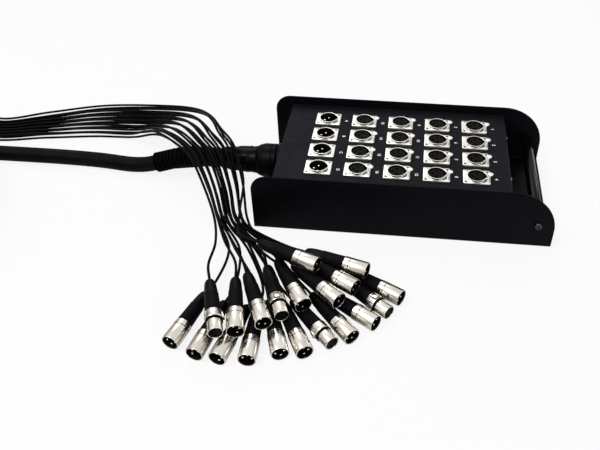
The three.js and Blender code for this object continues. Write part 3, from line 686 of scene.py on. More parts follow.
panel = {
    "left": -0.1525,
    "right": 0.1234,
    "halfWidth": 0.0862,
    "top": 0.0662,
    "foot": 0.0023,
    "sheet": 0.0015,
    "fold": 0.0018,
    "foldSteps": 4,
    "holeRadius": 0.0119,
    "glandHole": 0.0155,
    "holeSteps": 32,
}
panelScrew = {
    "height": 0.0615,
    "spots": [("front", -0.043), ("rear", 0.041)],
    "radius": 0.0021,
    "rise": 0.0015,
    "seat": 0.0001,
    "edge": [(-0.0002, 0), (0, 0.0002)],
    "domeShares": [(0.92, 0.6), (0.62, 0.93), (0.3, 1), (0.26, 0.5), (0, 0.5)],
    "steps": 28,
}
grid = {"columns": 5, "rows": 4, "columnPitch": 0.046, "rowPitch": 0.0345, "centreX": -0.0089}
gridHalfWidth = (grid["rows"] - 1) / 2 * grid["rowPitch"]


def sockets():
    # label, whether it is an inlet, and place, by column from the cable end
    places = []
    for column in range(grid["columns"]):
        x = grid["centreX"] + (column - (grid["columns"] - 1) / 2) * grid["columnPitch"]
        first = (grid["columns"] - 1 - column) * grid["rows"] + 1
        for row in range(grid["rows"]):
            label = "ABCD"[row] if column == 0 else str(first + row)
            places.append((label, column == 0, x, ((grid["rows"] - 1) / 2 - row) * grid["rowPitch"]))
    return places


def panelSheet(bm):
    left, right, half, top = panel["left"], panel["right"], panel["halfWidth"], panel["top"]
    rims = loopOf(bm, [(left, -half, top), (right, -half, top), (right, half, top), (left, half, top)])
    cableFold, handleFold = rims[3], rims[1]
    holes = []
    for label, isInlet, x, y in sockets():
        holes += loopOf(bm, circlePoints(panel["holeRadius"], panel["holeSteps"], (x, y, top)))
    fill(bm, rims + holes)
    drawn = bmesh.ops.extrude_edge_only(bm, edges=[handleFold])["geom"]
    bmesh.ops.translate(bm, verts=vertsOf(drawn), vec=(0, 0, panel["foot"] - top))
    near = sorted(cableFold.verts, key=lambda v: v.co.y)
    feet = [bm.verts.new((left, y, panel["foot"])) for y in (-half, half)]
    wall = [cableFold, *(bm.edges.new(ends) for ends in ((near[0], feet[0]), feet, (feet[1], near[1])))]
    hole = circlePoints(panel["glandHole"], panel["holeSteps"])
    wall += loopOf(bm, [(left, cable["glandSide"] + a, cable["glandHeight"] + b) for a, b, c in hole])
    fill(bm, wall)
    bevel(bm, [cableFold, handleFold], panel["fold"], panel["foldSteps"])
    foldInward(bm, panel["sheet"])


def makePanelScrews():
    # pan heads on the end wall that faces the handle
    radius, rise, seat = panelScrew["radius"], panelScrew["rise"], panelScrew["seat"]
    line = [(0, seat), *corner(radius, seat, panelScrew["edge"])]
    line += [(radius * out, rise * up) for out, up in panelScrew["domeShares"]]
    for name, y in panelScrew["spots"]:
        place = moved(panel["right"], y, panelScrew["height"]) @ turned(quarterTurn, "Y")
        addPiece(f"panel_screw_{name}", spun(line, panelScrew["steps"]), "screwSteel", place=place)


addPiece("chassis_sheet", chassisSheet, "chassisCoat", ["chassis"])
addPiece("panel_sheet", panelSheet, "panelCoat", ["connector_panel"])
makePanelScrews()
print("box ready")


# Handle bar between the cheeks, with a button-head bolt at each end

handle = {
    "x": 0.156,
    "z": 0.0322,
    "radius": 0.007,
    "half": 0.0862,
    "rounding": 0.0012,
    "steps": 64,
}
bolt = {
    "base": 0.0888,
    "radius": 0.0046,
    "height": 0.0028,
    "edge": [(-0.0003, 0), (0, 0.0003)],
    "domeShares": [(0.97, 0.36), (0.88, 0.62), (0.74, 0.82), (0.56, 0.95)],
    "shankRadius": 0.0025,
    "shankEnd": 0.0745,
    "driveRadius": 0.0014,
    "driveMouthShare": 1.1,
    "driveEdge": 0.0001,
    "driveDepth": 0.0012,
    "driveSides": 6,
    "steps": 36,
}


def cornered(bm, radius, sides):
    # draws a round wall in to an even polygon with as many sides
    step = 2 * math.pi / sides
    for vert in bm.verts:
        if abs(math.hypot(vert.co.x, vert.co.y) - radius) < tiny * 10:
            angle = math.atan2(vert.co.y, vert.co.x) % step - step / 2
            scale = math.cos(step / 2) / math.cos(angle)
            vert.co.x *= scale
            vert.co.y *= scale


def across(x, z, side=1):
    # lays a piece drawn along +Z so that it runs along +Y, or along -Y
    return moved(x, 0, z) @ turned(-quarterTurn * side, "X")


def boltHead(bm):
    base, radius, height, drive = bolt["base"], bolt["radius"], bolt["height"], bolt["driveRadius"]
    top = base + height
    floor = top - bolt["driveDepth"]
    line = [(0, bolt["shankEnd"]), (bolt["shankRadius"], bolt["shankEnd"]), (bolt["shankRadius"], base)]
    line += corner(radius, base, bolt["edge"])
    line += [(radius * out, base + height * up) for out, up in bolt["domeShares"]]
    line += [(drive * bolt["driveMouthShare"], top), (drive, top - bolt["driveEdge"])]
    line += [(drive, floor), (0, floor)]
    spinProfile(bm, line, bolt["steps"])
    cornered(bm, drive, bolt["driveSides"])


def makeHandle():
    bar = capsule(handle["radius"], -handle["half"], handle["half"], handle["rounding"])
    addPiece("handle_grip", spun(bar, handle["steps"]), "handleBlack", ["handle_bar"],
             across(handle["x"], handle["z"]))
    for name, side in (("rear", 1), ("front", -1)):
        addPiece(f"handle_bolt_head_{name}", boltHead, "boltSteel", [f"handle_bolt_{name}"],
                 across(handle["x"], handle["z"], side))


makeHandle()
print("handle ready")


# Cable entry: everything here is turned along -X from the outer face of the panel's end wall

gland = {
    "from": 0.0003,
    "to": 0.0078,
    "radius": 0.022,
    "foot": [(-0.0006, 0), (0, 0.0006)],
    "brow": [(0, -0.0014), (-0.0005, -0.0005), (-0.0014, 0)],
    "shankRadius": 0.015,
    "shankEnd": -0.0155,
    "bore": 0.0104,
    "steps": 72,
}
nut = {
    "from": 0.0081,
    "to": 0.0326,
    "radius": 0.0214,
    "foot": [(-0.001, 0), (0, 0.001), (0, 0.0052), (-0.0006, 0.0058), (-0.0006, 0.0064), (0, 0.007)],
    "taper": 0.0245,
    "brow": [(0, -0.001), (-0.0003, 0.0002)],
    "bellyShare": 0.55,
    "bellyDrop": 0.0032,
    "mouth": 0.0186,
    "lip": [(0.0002, -0.0012), (-0.0004, -0.0003), (-0.001, 0)],
}
lockNut = {"from": -0.0068, "to": -0.0018, "radius": 0.019, "edge": 0.0006}


def alongCable():
    return moved(*glandSpot) @ turned(-quarterTurn, "Y")


def makeGland():
    start, end, radius, shank = gland["from"], gland["to"], gland["radius"], gland["shankRadius"]
    line = corner(shank, gland["shankEnd"], gland["foot"]) + [(shank, start)]
    line += corner(radius, start, gland["foot"]) + corner(radius, end, gland["brow"])
    draw = spun(tubeProfile(line, gland["bore"]), gland["steps"])
    addPiece("gland_body", draw, "glandBlack", ["cable_gland"], alongCable())

    start, end, radius, mouth = nut["from"], nut["to"], nut["radius"], nut["mouth"]
    line = corner(radius, start, nut["foot"]) + corner(radius, nut["taper"], nut["brow"])
    line += [(radius - (radius - mouth) * nut["bellyShare"], end - nut["bellyDrop"])]
    line += corner(mouth, end, nut["lip"])
    draw = spun(tubeProfile(line, gland["bore"]), gland["steps"])
    addPiece("gland_cap", draw, "glandBlack", ["gland_nut"], alongCable())


def hexNut(bm):
    low, high, radius = lockNut["from"], lockNut["to"], lockNut["radius"]
    verts = bmesh.ops.create_cone(bm, cap_ends=True, segments=6, radius1=radius, radius2=radius,
                                  depth=high - low)["verts"]
    bmesh.ops.translate(bm, verts=verts, vec=(0, 0, (low + high) / 2))
    bevelSharp(bm, lockNut["edge"])


sleeve = {
    "from": 0.0329,
    "to": 0.0759,
    "radius": 0.0178,
    "taper": 0.0471,
    "end": 0.0142,
    "lip": 0.0008,
    "rows": 44,
    "steps": 96,
    "fade": 0.003,
    "wrinkle": 0.0009,
    "evenShare": 0.9,
    "foldShare": 0.7,
    "foldScale": (130, 130, 60),
    "ringScale": (45, 45, 260),
    "ringShift": Vector((0, 0, 7)),
    "crease": 70,
}


def sleeveRadius(height):
    share = max((height - sleeve["taper"]) / (sleeve["to"] - sleeve["taper"]), 0)
    return sleeve["radius"] + (sleeve["end"] - sleeve["radius"]) * share


def sleeveSkin(bm):
    # heat shrunk over the nut's neck and the relief, so its skin lies in shallow folds
    start, end, rows, lip = sleeve["from"], sleeve["to"], sleeve["rows"], sleeve["lip"]
    heights = [start + lip + (end - start - 2 * lip) * row / rows for row in range(rows + 1)]
    line = [(sleeveRadius(start) - lip, start), *((sleeveRadius(height), height) for height in heights),
            (sleeveRadius(end) - lip, end)]
    spinProfile(bm, tubeProfile(line, gland["bore"]), sleeve["steps"])
    for vert in bm.verts:
        radius = math.hypot(vert.co.x, vert.co.y)
        if radius > gland["bore"] + sleeve["lip"]:
            fade = min(max(min(vert.co.z - start, end - vert.co.z) / sleeve["fade"], 0), 1)
            folds = noise.noise(vert.co * Vector(sleeve["foldScale"]))
            rings = noise.noise(vert.co * Vector(sleeve["ringScale"]) + sleeve["ringShift"])
            sink = sleeve["wrinkle"] * (sleeve["evenShare"] + sleeve["foldShare"] * (folds + rings)) * fade
            vert.co.x *= (radius - sink) / radius
            vert.co.y *= (radius - sink) / radius


def reliefRibs(bm):
    # square ribs on a flexible tube, turned straight and then bent along the relief's line
    pitch = reliefLength / relief["ribs"]
    crest, valley, low = relief["crest"], relief["valley"], relief["crest"] - relief["ribEdge"]
    line = [(valley, 0)]
    for rib in range(relief["ribs"]):
        for radius, share in zip((valley, low, crest, crest, low, valley), relief["ribShares"]):
            line.append((radius, rib * pitch + pitch * share))
    line.append((valley, reliefLength))
    spinProfile(bm, tubeProfile(line, relief["bore"]), relief["steps"])
    for vert in bm.verts:
        centre, angle = reliefPoint(vert.co.z)
        side, rise = -vert.co.y, vert.co.x
        vert.co = centre + Vector((-math.sin(angle) * rise, side, math.cos(angle) * rise))


breakout = {
    "foot": [(0, 0.0003), (0.0112, 0.0003), (0.012, 0.0011)],
    "ripples": 14,
    "rippleDepth": 0.00035,
    "rippleLength": 0.0735,
    "end": [(0.0114, 0.088), (0.011, 0.0996), (0.0104, 0.1003), (0, 0.1003)],
    "cap": [(0, 0.1006), (0.0108, 0.1006), (0.012, 0.1014), (0.012, 0.1044), (0.0112, 0.1056), (0, 0.1056)],
    "steps": 56,
    "crease": 60,
}


def makeBreakout():
    along = moved(*endRoute[-1]) @ turned(tail["rootHeading"], "Z") @ turned(quarterTurn, "Y")
    radius, base = breakout["foot"][-1]
    ripples = [(radius - breakout["rippleDepth"] * (row % 2),
                base + breakout["rippleLength"] * row / breakout["ripples"])
               for row in range(1, breakout["ripples"] + 1)]
    line = breakout["foot"] + ripples + breakout["end"]
    addPiece("breakout_boot", spun(line, breakout["steps"]), "shrinkBlack", ["breakout_sleeve"], along,
             breakout["crease"])
    addPiece("tail_root_cap", spun(breakout["cap"], breakout["steps"]), "glandBlack", place=along)


loom = {
    "height": 0.03,
    "start": 0.0158,
    "trunk": (0.008, 0.001, 24),
    "arm": (0.004, 0.001, 16),
    "stub": (0.0024, 0.0004, 12),
    "stubTop": 0.0439,
}


def panelWiring(bm):
    # a trunk under the panel, an arm below each column and a stub up to each connector
    def wire(form, low, high, place):
        radius, rounding, steps = form
        spinProfile(bm, capsule(radius, low, high, rounding), steps, place)

    height, start = loom["height"], cable["panelEnd"] + loom["start"]
    reach = gridHalfWidth + loom["stub"][0]
    lastX = max(x for label, isInlet, x, y in sockets())
    wire(loom["trunk"], start, lastX + loom["arm"][0], moved(0, 0, height) @ turned(quarterTurn, "Y"))
    for label, isInlet, x, y in sockets():
        if y > gridHalfWidth - tiny:
            wire(loom["arm"], -reach, reach, across(x, height))
        wire(loom["stub"], height, loom["stubTop"], moved(x, y))


makeGland()
addPiece("gland_lock", hexNut, "nutBrass", ["gland_locknut"], alongCable())
addPiece("shrink_tube", sleeveSkin, "shrinkBlack", ["shrink_sleeve"], alongCable(), sleeve["crease"])
addPiece("relief_ribs", reliefRibs, "reliefBlack", ["bend_relief"], crease=relief["crease"])
makeBreakout()
addPiece("panel_wiring", panelWiring, "tailJacket", ["inner_loom"])
print("cable entry ready")


# Panel connectors: four male inlets a to d at the cable end, sixteen female sockets with push latches

socket = {
    "length": 0.031,
    "width": 0.026,
    "corner": 0.0017,
    "cornerSteps": 6,
    "bottom": 0.0664,
    "top": 0.0687,
    "edge": 0.00035,
    "edgeNear": 0.0001,
    "rimSeat": 0.0002,
    "rimTop": 0.0711,
    "rimOuter": 0.0114,
    "rimInner": 0.0103,
    "rimBrow": [(0, -0.0004), (-0.0001, -0.0001), (-0.0004, 0)],
    "rimSteps": 72,
    "holeSteps": 64,
    "barrel": 0.0117,
    "barrelBore": 0.0102,
    "barrelEnd": 0.0442,
    "barrelSteps": 40,
    "pointFrom": 0.009,
    "pointShare": 0.82,
    "pointEnd": 0.0119,
    "pointStepShare": 0.35,
    "linerOuter": 0.01025,
    "linerInner": 0.0097,
    "linerTop": 0.0706,
    "linerFloor": 0.001,
    "linerLip": 0.0002,
    "linerSoft": 0.0001,
}
socketScrew = {
    "x": 0.0125,
    "y": 0.0098,
    "hole": 0.0017,
    "sink": 0.0002,
    "line": [(0, -0.0012), (0.0009, -0.0012), (0.0016, -0.0002), (0.0015, 0), (0.0006, 0), (0.0005, -0.0005),
             (0, -0.0005)],
    "holeSteps": 16,
    "steps": 20,
}
strips = {
    # the rim's strip is dark and laid on the front of its outer wall, with nothing cut there: a painted
    # reflection
    "rim_painted_reflection": {"radius": socket["rimOuter"] + 0.00012, "wide": 0.0005, "turn": (-118, -62),
                  "top": socket["rimTop"] - 0.00025, "tall": 0.0012},
    "slit": {"radius": 0.0125, "wide": 0.0017, "turn": (-62, -14),
             "top": socket["top"] + 0.00004, "tall": 0.0004},
}
stripSteps = 14
stripTipShare = 0.06
inletCup = {
    "radius": 0.0095,
    "floor": 0.0547,
    "steps": 56,
    "pinRadius": 0.00125,
    "pinRounding": 0.0006,
    "pinSink": 0.0004,
    "pinCircle": 0.0049,
    "pinTop": 0.0674,
    "pinSteps": 20,
}
femaleInsert = {
    "radius": 0.0085,
    "clear": 0.0002,
    "top": 0.0698,
    "floor": 0.0567,
    "steps": 48,
    "holeRadius": 0.0016,
    "holeDepth": 0.011,
    "holeSteps": 16,
}
latch = {
    "discX": 0.0153,
    "discRadius": 0.0033,
    "discBottom": 0.0726,
    "discTop": 0.0746,
    "discUnder": [(-0.0005, 0), (-0.0001, 0.0004), (0, 0.0007)],
    "discCrown": [(-0.0001, -0.0006), (-0.0004, -0.0003), (-0.0009, -0.0001), (-0.0016, 0)],
    "discSteps": 36,
    "stemX": 0.01345,
    "stemThick": 0.0016,
    "stemWide": 0.0028,
    "stemFoot": 0.0627,
    "stemInto": 0.0006,
    "slotGap": 0.0002,
    "armX": 0.0125,
    "armFoot": 0.0713,
    "armHalf": 0.0024,
    "armBelow": 0.0004,
    "armTipThick": 0.0009,
    "armTipShare": 0.55,
}


def pointed(x, y):
    # draws the side of a circle that faces +X out to a point, along its tangents, and squares the tip
    angle = abs(math.atan2(y, x))
    tangent = math.acos(socket["pointShare"])
    if angle < tangent:
        scale = 1 / math.cos(tangent - angle)
        inside = socket["rimOuter"] - math.hypot(x, y)
        x, y = min(x * scale, socket["pointEnd"] - socket["pointStepShare"] * inside), y * scale
    return x, y


def drawToPoint(verts):
    for vert in verts:
        if math.hypot(vert.co.x, vert.co.y) > socket["pointFrom"]:
            vert.co.x, vert.co.y = pointed(vert.co.x, vert.co.y)


def flangeOutline(z):
    points, steps, bend = [], socket["cornerSteps"], socket["corner"]
    for quarter, (sx, sy) in enumerate(((1, 1), (-1, 1), (-1, -1), (1, -1))):
        for step in range(steps + 1):
            angle = quarterTurn * (quarter + step / steps)
            points.append((sx * (socket["length"] / 2 - bend) + bend * math.cos(angle),
                           sy * (socket["width"] / 2 - bend) + bend * math.sin(angle), z))
    return points


def onFlangeEdge(spot):
    near, bend = socket["edgeNear"], socket["corner"]
    x, y = abs(spot.x) - (socket["length"] / 2 - near), abs(spot.y) - (socket["width"] / 2 - near)
    inCorner = min(x, y) > -bend and math.hypot(x + bend, y + bend) > bend - 2 * near
    return spot.z > socket["top"] - tiny and (x > 0 or y > 0 or inCorner)


def flangePlate(bm, isInlet):
    top = socket["top"]
    edges = loopOf(bm, flangeOutline(top))
    if not isInlet:
        half, out = latch["stemWide"] / 2 + latch["slotGap"], latch["stemThick"] / 2 + latch["slotGap"]
        slot = [(latch["stemX"] + a * out, b * half, top) for a, b in ((-1, -1), (1, -1), (1, 1), (-1, 1))]
        edges += loopOf(bm, slot)
    hole = circlePoints(socket["rimInner"], socket["holeSteps"])
    edges += loopOf(bm, [(*pointed(x, y), top) for x, y, z in hole])
    for side in (1, -1):
        spot = (side * socketScrew["x"], side * socketScrew["y"], top)
        edges += loopOf(bm, circlePoints(socketScrew["hole"], socketScrew["holeSteps"], spot))
    fillAndSink(bm, edges, top - socket["bottom"])
    rim = [e for e in bm.edges if all(onFlangeEdge(v.co) for v in e.verts)
           and len({round(f.normal.z) for f in e.link_faces}) > 1]
    bevel(bm, rim, socket["edge"], 2)


def rim(bm):
    low, high = socket["bottom"] - socket["rimSeat"], socket["rimTop"]
    inner, outer = socket["rimInner"], socket["rimOuter"]
    within = [(inner - out, high + up) for out, up in socket["rimBrow"][::-1]]
    line = [(inner, low), (outer, low), *corner(outer, high, socket["rimBrow"]), *within]
    drawToPoint(spinProfile(bm, line, socket["rimSteps"]))


def barrel(bm):
    bore, outer = socket["barrelBore"], socket["barrel"]
    low, high = socket["barrelEnd"], socket["bottom"] - fitGap
    spinProfile(bm, [(bore, low), (outer, low), (outer, high), (bore, high)], socket["barrelSteps"])


def liner(bm, isInlet):
    # a cup with a thin lip, and in a female socket one more ring on its floor, under the insert
    outer, top, lip = socket["linerOuter"], socket["linerTop"], socket["linerLip"]
    floor, bore, steps, under = inletCup["floor"], inletCup["radius"], inletCup["steps"], []
    if not isInlet:
        floor, bore, steps = femaleInsert["floor"], socket["linerInner"], socket["rimSteps"]
        under = [(femaleInsert["radius"] - femaleInsert["clear"], floor)]
    below = floor - socket["linerFloor"]
    line = [(0, below), (outer, below), (outer, top - lip), (outer - lip, top),
            (bore + socket["linerSoft"], top), (bore, top - lip), (bore, floor), *under, (0, floor)]
    drawToPoint(spinProfile(bm, line, steps))


def pinSpots(reach):
    return [(0, -reach), (0, reach), (-reach, 0)]


def contactFace(bm, radius, top, holes, form):
    # a disc with three contact holes
    edges = loopOf(bm, circlePoints(radius, form["steps"], (0, 0, top)))
    for x, y in holes:
        edges += loopOf(bm, circlePoints(form["holeRadius"], form["holeSteps"], (x, y, top)))
    fillAndSink(bm, edges, form["holeDepth"])


def insertCore(bm):
    holes = pinSpots(inletCup["pinCircle"])
    contactFace(bm, femaleInsert["radius"], femaleInsert["top"], holes, femaleInsert)


def arcStrip(bm, form):
    # a curved strip round the socket's centre, tapered to nothing at both ends
    start, end = form["turn"]
    inner, outer = [], []
    for step in range(stripSteps + 1):
        share = step / stripSteps
        angle = math.radians(start + (end - start) * share)
        half = form["wide"] / 2 * math.sin(math.pi * (stripTipShare + (1 - 2 * stripTipShare) * share))
        for points, radius in ((inner, form["radius"] - half), (outer, form["radius"] + half)):
            points.append((radius * math.cos(angle), radius * math.sin(angle), form["top"]))
    fillAndSink(bm, loopOf(bm, outer + inner[::-1]), form["tall"])


def latchTab(bm):
    x, radius, low, high = latch["discX"], latch["discRadius"], latch["discBottom"], latch["discTop"]
    line = [(0, low), *corner(radius, low, latch["discUnder"])]
    line += [*corner(radius, high, latch["discCrown"]), (0, high)]
    spinProfile(bm, line, latch["discSteps"], moved(x, 0))
    thick, wide = latch["stemThick"] / 2, latch["stemWide"] / 2
    plate(bm, (latch["stemX"] - thick, -wide, latch["stemFoot"]),
          (latch["stemX"] + thick, wide, low + latch["stemInto"]))
    arm = plate(bm, (latch["armX"], -latch["armHalf"], latch["armFoot"]),
                (x, latch["armHalf"], high - latch["armBelow"]))
    for vert in arm:
        if vert.co.x < x - tiny:
            vert.co.z = latch["armFoot"] + (latch["armTipThick"] if vert.co.z > low else 0)
            vert.co.y *= latch["armTipShare"]


def makeSocket(label, isInlet, x, y):
    place = moved(x, y)
    number = label if isInlet else f"{int(label):02d}"
    name = f"inlet_{label.lower()}" if isInlet else f"socket_{number}"
    replaces = [name] if isInlet else []
    addPiece(f"{name}_flange", lambda bm: flangePlate(bm, isInlet), "flangeNickel", replaces, place)
    addPiece(f"{name}_rim", rim, "flangeNickel", place=place)
    addPiece(f"{name}_barrel", barrel, "insertBlack", place=place)
    addPiece(f"{name}_liner", lambda bm: liner(bm, isInlet), "insertBlack", place=place)
    # dark strips on each socket: on the rim a painted reflection, on the flange the slit
    for part, form in strips.items():
        addPiece(f"{name}_{part}", lambda bm: arcStrip(bm, form), "insertBlack", place=place)
    screw = corner(0, socket["top"] - socketScrew["sink"], socketScrew["line"])
    for end, side in (("rear", 1), ("front", -1)):
        spot = moved(side * socketScrew["x"], side * socketScrew["y"])
        addPiece(f"{name}_screw_{end}", spun(screw, socketScrew["steps"], spot), "screwSteel", place=place)
    if isInlet:
        pin = capsule(inletCup["pinRadius"], inletCup["floor"] - inletCup["pinSink"], inletCup["pinTop"],
                      inletCup["pinRounding"])
        for i, spot in enumerate(pinSpots(inletCup["pinCircle"])):
            draw = spun(pin, inletCup["pinSteps"], moved(*spot))
            addPiece(f"{name}_pin_{i + 1}", draw, "pinNickel", place=place)
    else:
        addPiece(f"{name}_insert", insertCore, "insertBlack", place=place)
        node = f"latch_{number}"
        # the push tab takes the lighter nickel, a painted highlight on its top
        addPiece(f"{name}_latch_tab", latchTab, "tabNickelPaintedBright", [node], place, body=node)


for label, isInlet, x, y in sockets():
    makeSocket(label, isInlet, x, y)
print("panel connectors ready")


# Channel labels printed on the panel: they read towards -Y, with their tops towards +X

labels = {"x": 0.023, "y": 0.0006, "size": 0.0052, "thick": 0.00008, "bold": 0.0002, "curveSteps": 4}


def makeLabel(label, x, y):
    writing = bpy.data.curves.new(f"writing_{label}", "FONT")
    writing.body = label
    writing.align_x = "CENTER"
    writing.align_y = "CENTER"
    writing.size = labels["size"]
    writing.offset = labels["bold"]
    writing.resolution_u = labels["curveSteps"]
    holder = linked(f"writing_{label}", writing)
    flat = bpy.data.meshes.new_from_object(holder)
    place = moved(x + labels["x"], y + labels["y"], panel["top"] + labels["thick"])
    place = place @ turned(-quarterTurn, "Z")

    def glyph(bm):
        bm.from_mesh(flat)
        bmesh.ops.recalc_face_normals(bm, faces=bm.faces)

    addPiece(f"label_{label.lower()}", glyph, "printWhite", place=place)
    bpy.data.objects.remove(holder)
    bpy.data.meshes.remove(flat)
    bpy.data.curves.remove(writing)


for label, isInlet, x, y in sockets():
    makeLabel(label, x, y)
print("labels ready")


# Plugs: drawn along +Z from the boot's tip to the mouth, then laid where the tails end

plug = {
    "length": 0.074,
    "shellFrom": 0.047,
    "shellStart": 0.0002,
    "shellBack": 0.0091,
    "shellRadius": 0.0094,
    "backEdge": [(-0.0005, 0), (-0.0001, 0.0003)],
    "backLength": 0.0009,
    "seam": 0.0066,
    "seamLine": [(0, -0.0001), (-0.0006, 0), (-0.0006, 0.0006), (0, 0.0007), (0, 0.002)],
    "mouthLine": [(0, -0.0004), (-0.0002, 0)],
    "shellSteps": 72,
    "flatStart": 0.0006,
    "flatReach": 0.0088,
    "cupFloor": 0.06,
    "cupRadius": 0.0082,
    "cupSteps": 48,
    "floorGap": 0.0004,
    "pinRadius": 0.0012,
    "pinRounding": 0.0006,
    "pinCircle": 0.0046,
    "pinTop": 0.0716,
    "pinSteps": 18,
    "shoulder": 0.06,
}
male = {
    "mouthWall": 0.0002,
    "flatEnd": 0.0004,
    "flatTurns": (0.4, math.pi + 0.4),
    "cupThick": 0.001,
    "cupBelow": 0.0006,
    "cupWall": 0.00015,
    "cupLip": 0.00005,
    "cupSoft": 0.0001,
    "seamDepth": 0.0004,
    "seamBelow": 0.00006,
    "seamWidth": 0.0006,
    "keyHalf": 0.0011,
    "keyDepth": 0.0009,
    "keyInto": 0.0001,
    "keyBelow": 0.0012,
}
female = {
    "flatEnd": 0.0008,
    "flatTurns": (1.5, -1.5, math.pi),
    "noseRadius": 0.00795,
    "noseBore": 0.0069,
    "noseGap": 0.0001,
    "noseBrow": [(0, -0.0005), (-0.0001, -0.0002), (-0.0004, 0)],
    "noseSoft": 0.0002,
    "faceDepth": 0.0012,
    "holeCircle": 0.0042,
    "ringRadius": 0.009,
    "ringLength": 0.0025,
    "ringFoot": [(-0.0003, 0), (0, 0.0003)],
    "ringBrow": [(0, -0.0004), (-0.0004, 0)],
    "ringSteps": 56,
}
plugFace = {"steps": 48, "holeRadius": 0.0013, "holeSteps": 14, "holeDepth": 0.01}
button = {
    "front": 0.0565,
    "length": 0.008,
    "width": 0.0054,
    "outer": 0.0109,
    "inner": 0.007,
    "slope": 0.0014,
    "edge": 0.0005,
    "seatDepth": 0.0016,
}
boot = {"steps": 48, "sides": 6, "flatShare": 0.965, "radiusFrom": 0.003, "flatFrom": 0.004, "fade": 0.014}
bootTipLine = [
    (0.0016, 0), (0.0019, 0), (0.0032, 0.0004), (0.0047, 0.002), (0.0057, 0.0045), (0.0063, 0.008),
    (0.0067, 0.0115), (0.007, 0.016), (0.0072, 0.0204), (0.0016, 0.0204),
]
bootLine = [
    (0.0016, 0.0205), (0.0072, 0.0205), (0.0076, 0.0208), (0.0078, 0.027), (0.008, 0.034), (0.0083, 0.0405),
    (0.0085, 0.0462), (0.0085, 0.047), (0.0016, 0.047),
]


def bootShape(bm, line):
    # soft rubber with six shallow flats that fade out towards the domed tip
    spinProfile(bm, line, boot["steps"])
    step = 2 * math.pi / boot["sides"]
    for vert in bm.verts:
        if math.hypot(vert.co.x, vert.co.y) > boot["radiusFrom"] and vert.co.z > boot["flatFrom"]:
            angle = math.atan2(vert.co.y, vert.co.x) % step - step / 2
            flat = boot["flatShare"] / max(math.cos(angle), boot["flatShare"])
            share = min((vert.co.z - boot["flatFrom"]) / boot["fade"], 1)
            vert.co.x *= 1 + (flat - 1) * share
            vert.co.y *= 1 + (flat - 1) * share


def shellAt(height):
    # the shell widens evenly from its back to its mouth
    grow = (plug["shellRadius"] - plug["shellBack"]) / (plug["length"] - plug["shellFrom"])
    return plug["shellBack"] + grow * (height - plug["shellFrom"])


def shellProfile(end):
    # outside of the shell with the seam a quarter of the way along it
    start, seam = plug["shellFrom"] + plug["shellStart"], plug["shellFrom"] + plug["seam"]
    line = corner(plug["shellBack"], start, plug["backEdge"])
    line += [(shellAt(start), start + plug["backLength"]), *corner(shellAt(seam), seam, plug["seamLine"])]
    return line + corner(shellAt(end), end, plug["mouthLine"])


def flatten(bm, form):
    # presses shallow flats into the outside of a turned shell, behind its seam
    low, high = plug["shellFrom"] + plug["flatStart"], plug["shellFrom"] + plug["seam"] - form["flatEnd"]
    for vert in bm.verts:
        if low < vert.co.z < high:
            for turn in form["flatTurns"]:
                past = vert.co.x * math.cos(turn) + vert.co.y * math.sin(turn) - plug["flatReach"]
                if past > 0:
                    vert.co.x -= past * math.cos(turn)
                    vert.co.y -= past * math.sin(turn)


def maleShell(bm):
    end, cup = plug["length"], plug["cupRadius"] + male["mouthWall"]
    line = shellProfile(end)
    line += [(cup, end), (cup, plug["cupFloor"] - plug["floorGap"]), (cup, line[0][1])]
    spinProfile(bm, line, plug["shellSteps"])
    flatten(bm, male)


def maleCup(bm):
    floor, end, inner = plug["cupFloor"], plug["length"] - male["cupBelow"], plug["cupRadius"]
    outer = inner + male["cupWall"]
    line = [(0, floor - male["cupThick"]), (outer, floor - male["cupThick"]), (outer, end),
            (inner + male["cupLip"], end), (inner, end - male["cupSoft"]), (inner, floor), (0, floor)]
    spinProfile(bm, line, plug["cupSteps"])


def seamRing(bm):
    # the dark gap where the shell's two halves meet
    low = plug["shellFrom"] + plug["seam"]
    high = low + male["seamWidth"]
    inner, outer = plug["shellBack"] - male["seamDepth"], plug["shellBack"] - male["seamBelow"]
    spinProfile(bm, [(inner, low), (outer, low), (outer, high), (inner, high)], plug["shellSteps"])


def plugPins(bm):
    low = plug["cupFloor"] - plug["floorGap"]
    pin = capsule(plug["pinRadius"], low, plug["pinTop"], plug["pinRounding"])
    for spot in pinSpots(plug["pinCircle"]):
        spinProfile(bm, pin, plug["pinSteps"], moved(*spot))


def keyTab(bm):
    # the guide rib inside the mouth
    plate(bm, (plug["cupRadius"] - male["keyDepth"], -male["keyHalf"], plug["cupFloor"]),
          (plug["cupRadius"] + male["keyInto"], male["keyHalf"], plug["length"] - male["keyBelow"]))


def femaleShell(bm):
    end = plug["shoulder"] - female["ringLength"] - female["noseGap"]
    line = shellProfile(end)
    spinProfile(bm, [(0, line[0][1]), *line, (0, end)], plug["shellSteps"])
    flatten(bm, female)
    half = button["width"] / 2 + fitGap
    low, high = button["front"] - button["length"] - fitGap, button["front"] + fitGap
    seat = button["inner"] - button["seatDepth"]
    for vert in bm.verts:
        if low < vert.co.z < high and abs(vert.co.y) < half and vert.co.x > seat:
            vert.co.x = seat


def femaleRing(bm):
    low, high, radius = plug["shoulder"] - female["ringLength"], plug["shoulder"], female["ringRadius"]
    line = [(0, low), *corner(radius, low, female["ringFoot"])]
    line += [*corner(radius, high, female["ringBrow"]), (0, high)]
    spinProfile(bm, line, female["ringSteps"])


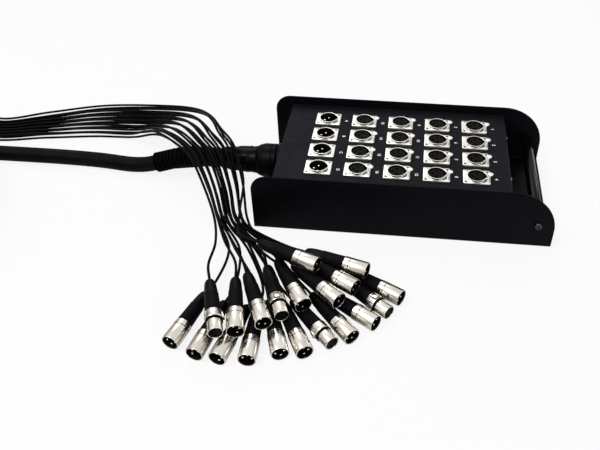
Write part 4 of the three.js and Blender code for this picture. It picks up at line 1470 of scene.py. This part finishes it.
def femaleNose(bm):
    low, high = plug["shoulder"] + female["noseGap"], plug["length"]
    radius, bore, soft = female["noseRadius"], female["noseBore"], female["noseSoft"]
    line = [(bore, low), (radius, low), *corner(radius, high, female["noseBrow"]), (bore + soft, high),
            (bore, high - soft)]
    spinProfile(bm, line, female["ringSteps"])


def femaleFace(bm):
    contactFace(bm, female["noseBore"] - female["noseGap"], plug["length"] - female["faceDepth"],
                pinSpots(female["holeCircle"]), plugFace)


def plugButton(bm):
    half, front, outer = button["width"] / 2, button["front"], button["outer"]
    for vert in plate(bm, (button["inner"], -half, front - button["length"]), (outer, half, front)):
        if vert.co.x > outer - tiny and vert.co.z < front - tiny:
            vert.co.x -= button["slope"]
    bevelSharp(bm, button["edge"])


bootParts = [("boot", lambda bm: bootShape(bm, bootLine), "bootBlack"),
             ("boot_tip", lambda bm: bootShape(bm, bootTipLine), "bootTipBlack")]
femaleParts = [("shell", femaleShell, "shellNickel"), ("ring", femaleRing, "insertBlack"),
               ("nose", femaleNose, "shellNickel"), ("face", femaleFace, "insertBlack")]
maleParts = [("shell", maleShell, "shellNickel"), ("cup", maleCup, "insertBlack"),
             ("seam", seamRing, "insertBlack"), ("pins", plugPins, "pinNickel"),
             ("key", keyTab, "insertBlack")]


def makePlug(row):
    number, (tip, heading) = row[0], row[-2:]
    isFemale = number in femalePlugs
    away = math.radians(heading)
    roll = math.pi + math.radians(femalePlugs[number]) if isFemale else -math.radians(thirdPin[number])
    place = moved(*(Vector(tip) + onward(away) * fitGap)) @ turned(away, "Z")
    place = place @ turned(quarterTurn, "Y") @ turned(roll, "Z")
    name, node = f"plug_{number:02d}", f"{'female' if isFemale else 'male'}_plug_{number:02d}"
    made = []
    for part, draw, finish in bootParts + (femaleParts if isFemale else maleParts):
        made.append(addPiece(f"{name}_{part}", draw, finish, [node] if part == "shell" else [], place))
    if isFemale:
        node = f"plug_button_{number:02d}"
        made.append(addPiece(f"{name}_button", plugButton, "shellNickel", [node], place, body=node))
    return made


plugPieces = {row[0]: makePlug(row) for row in tailRows}
print("plugs ready")
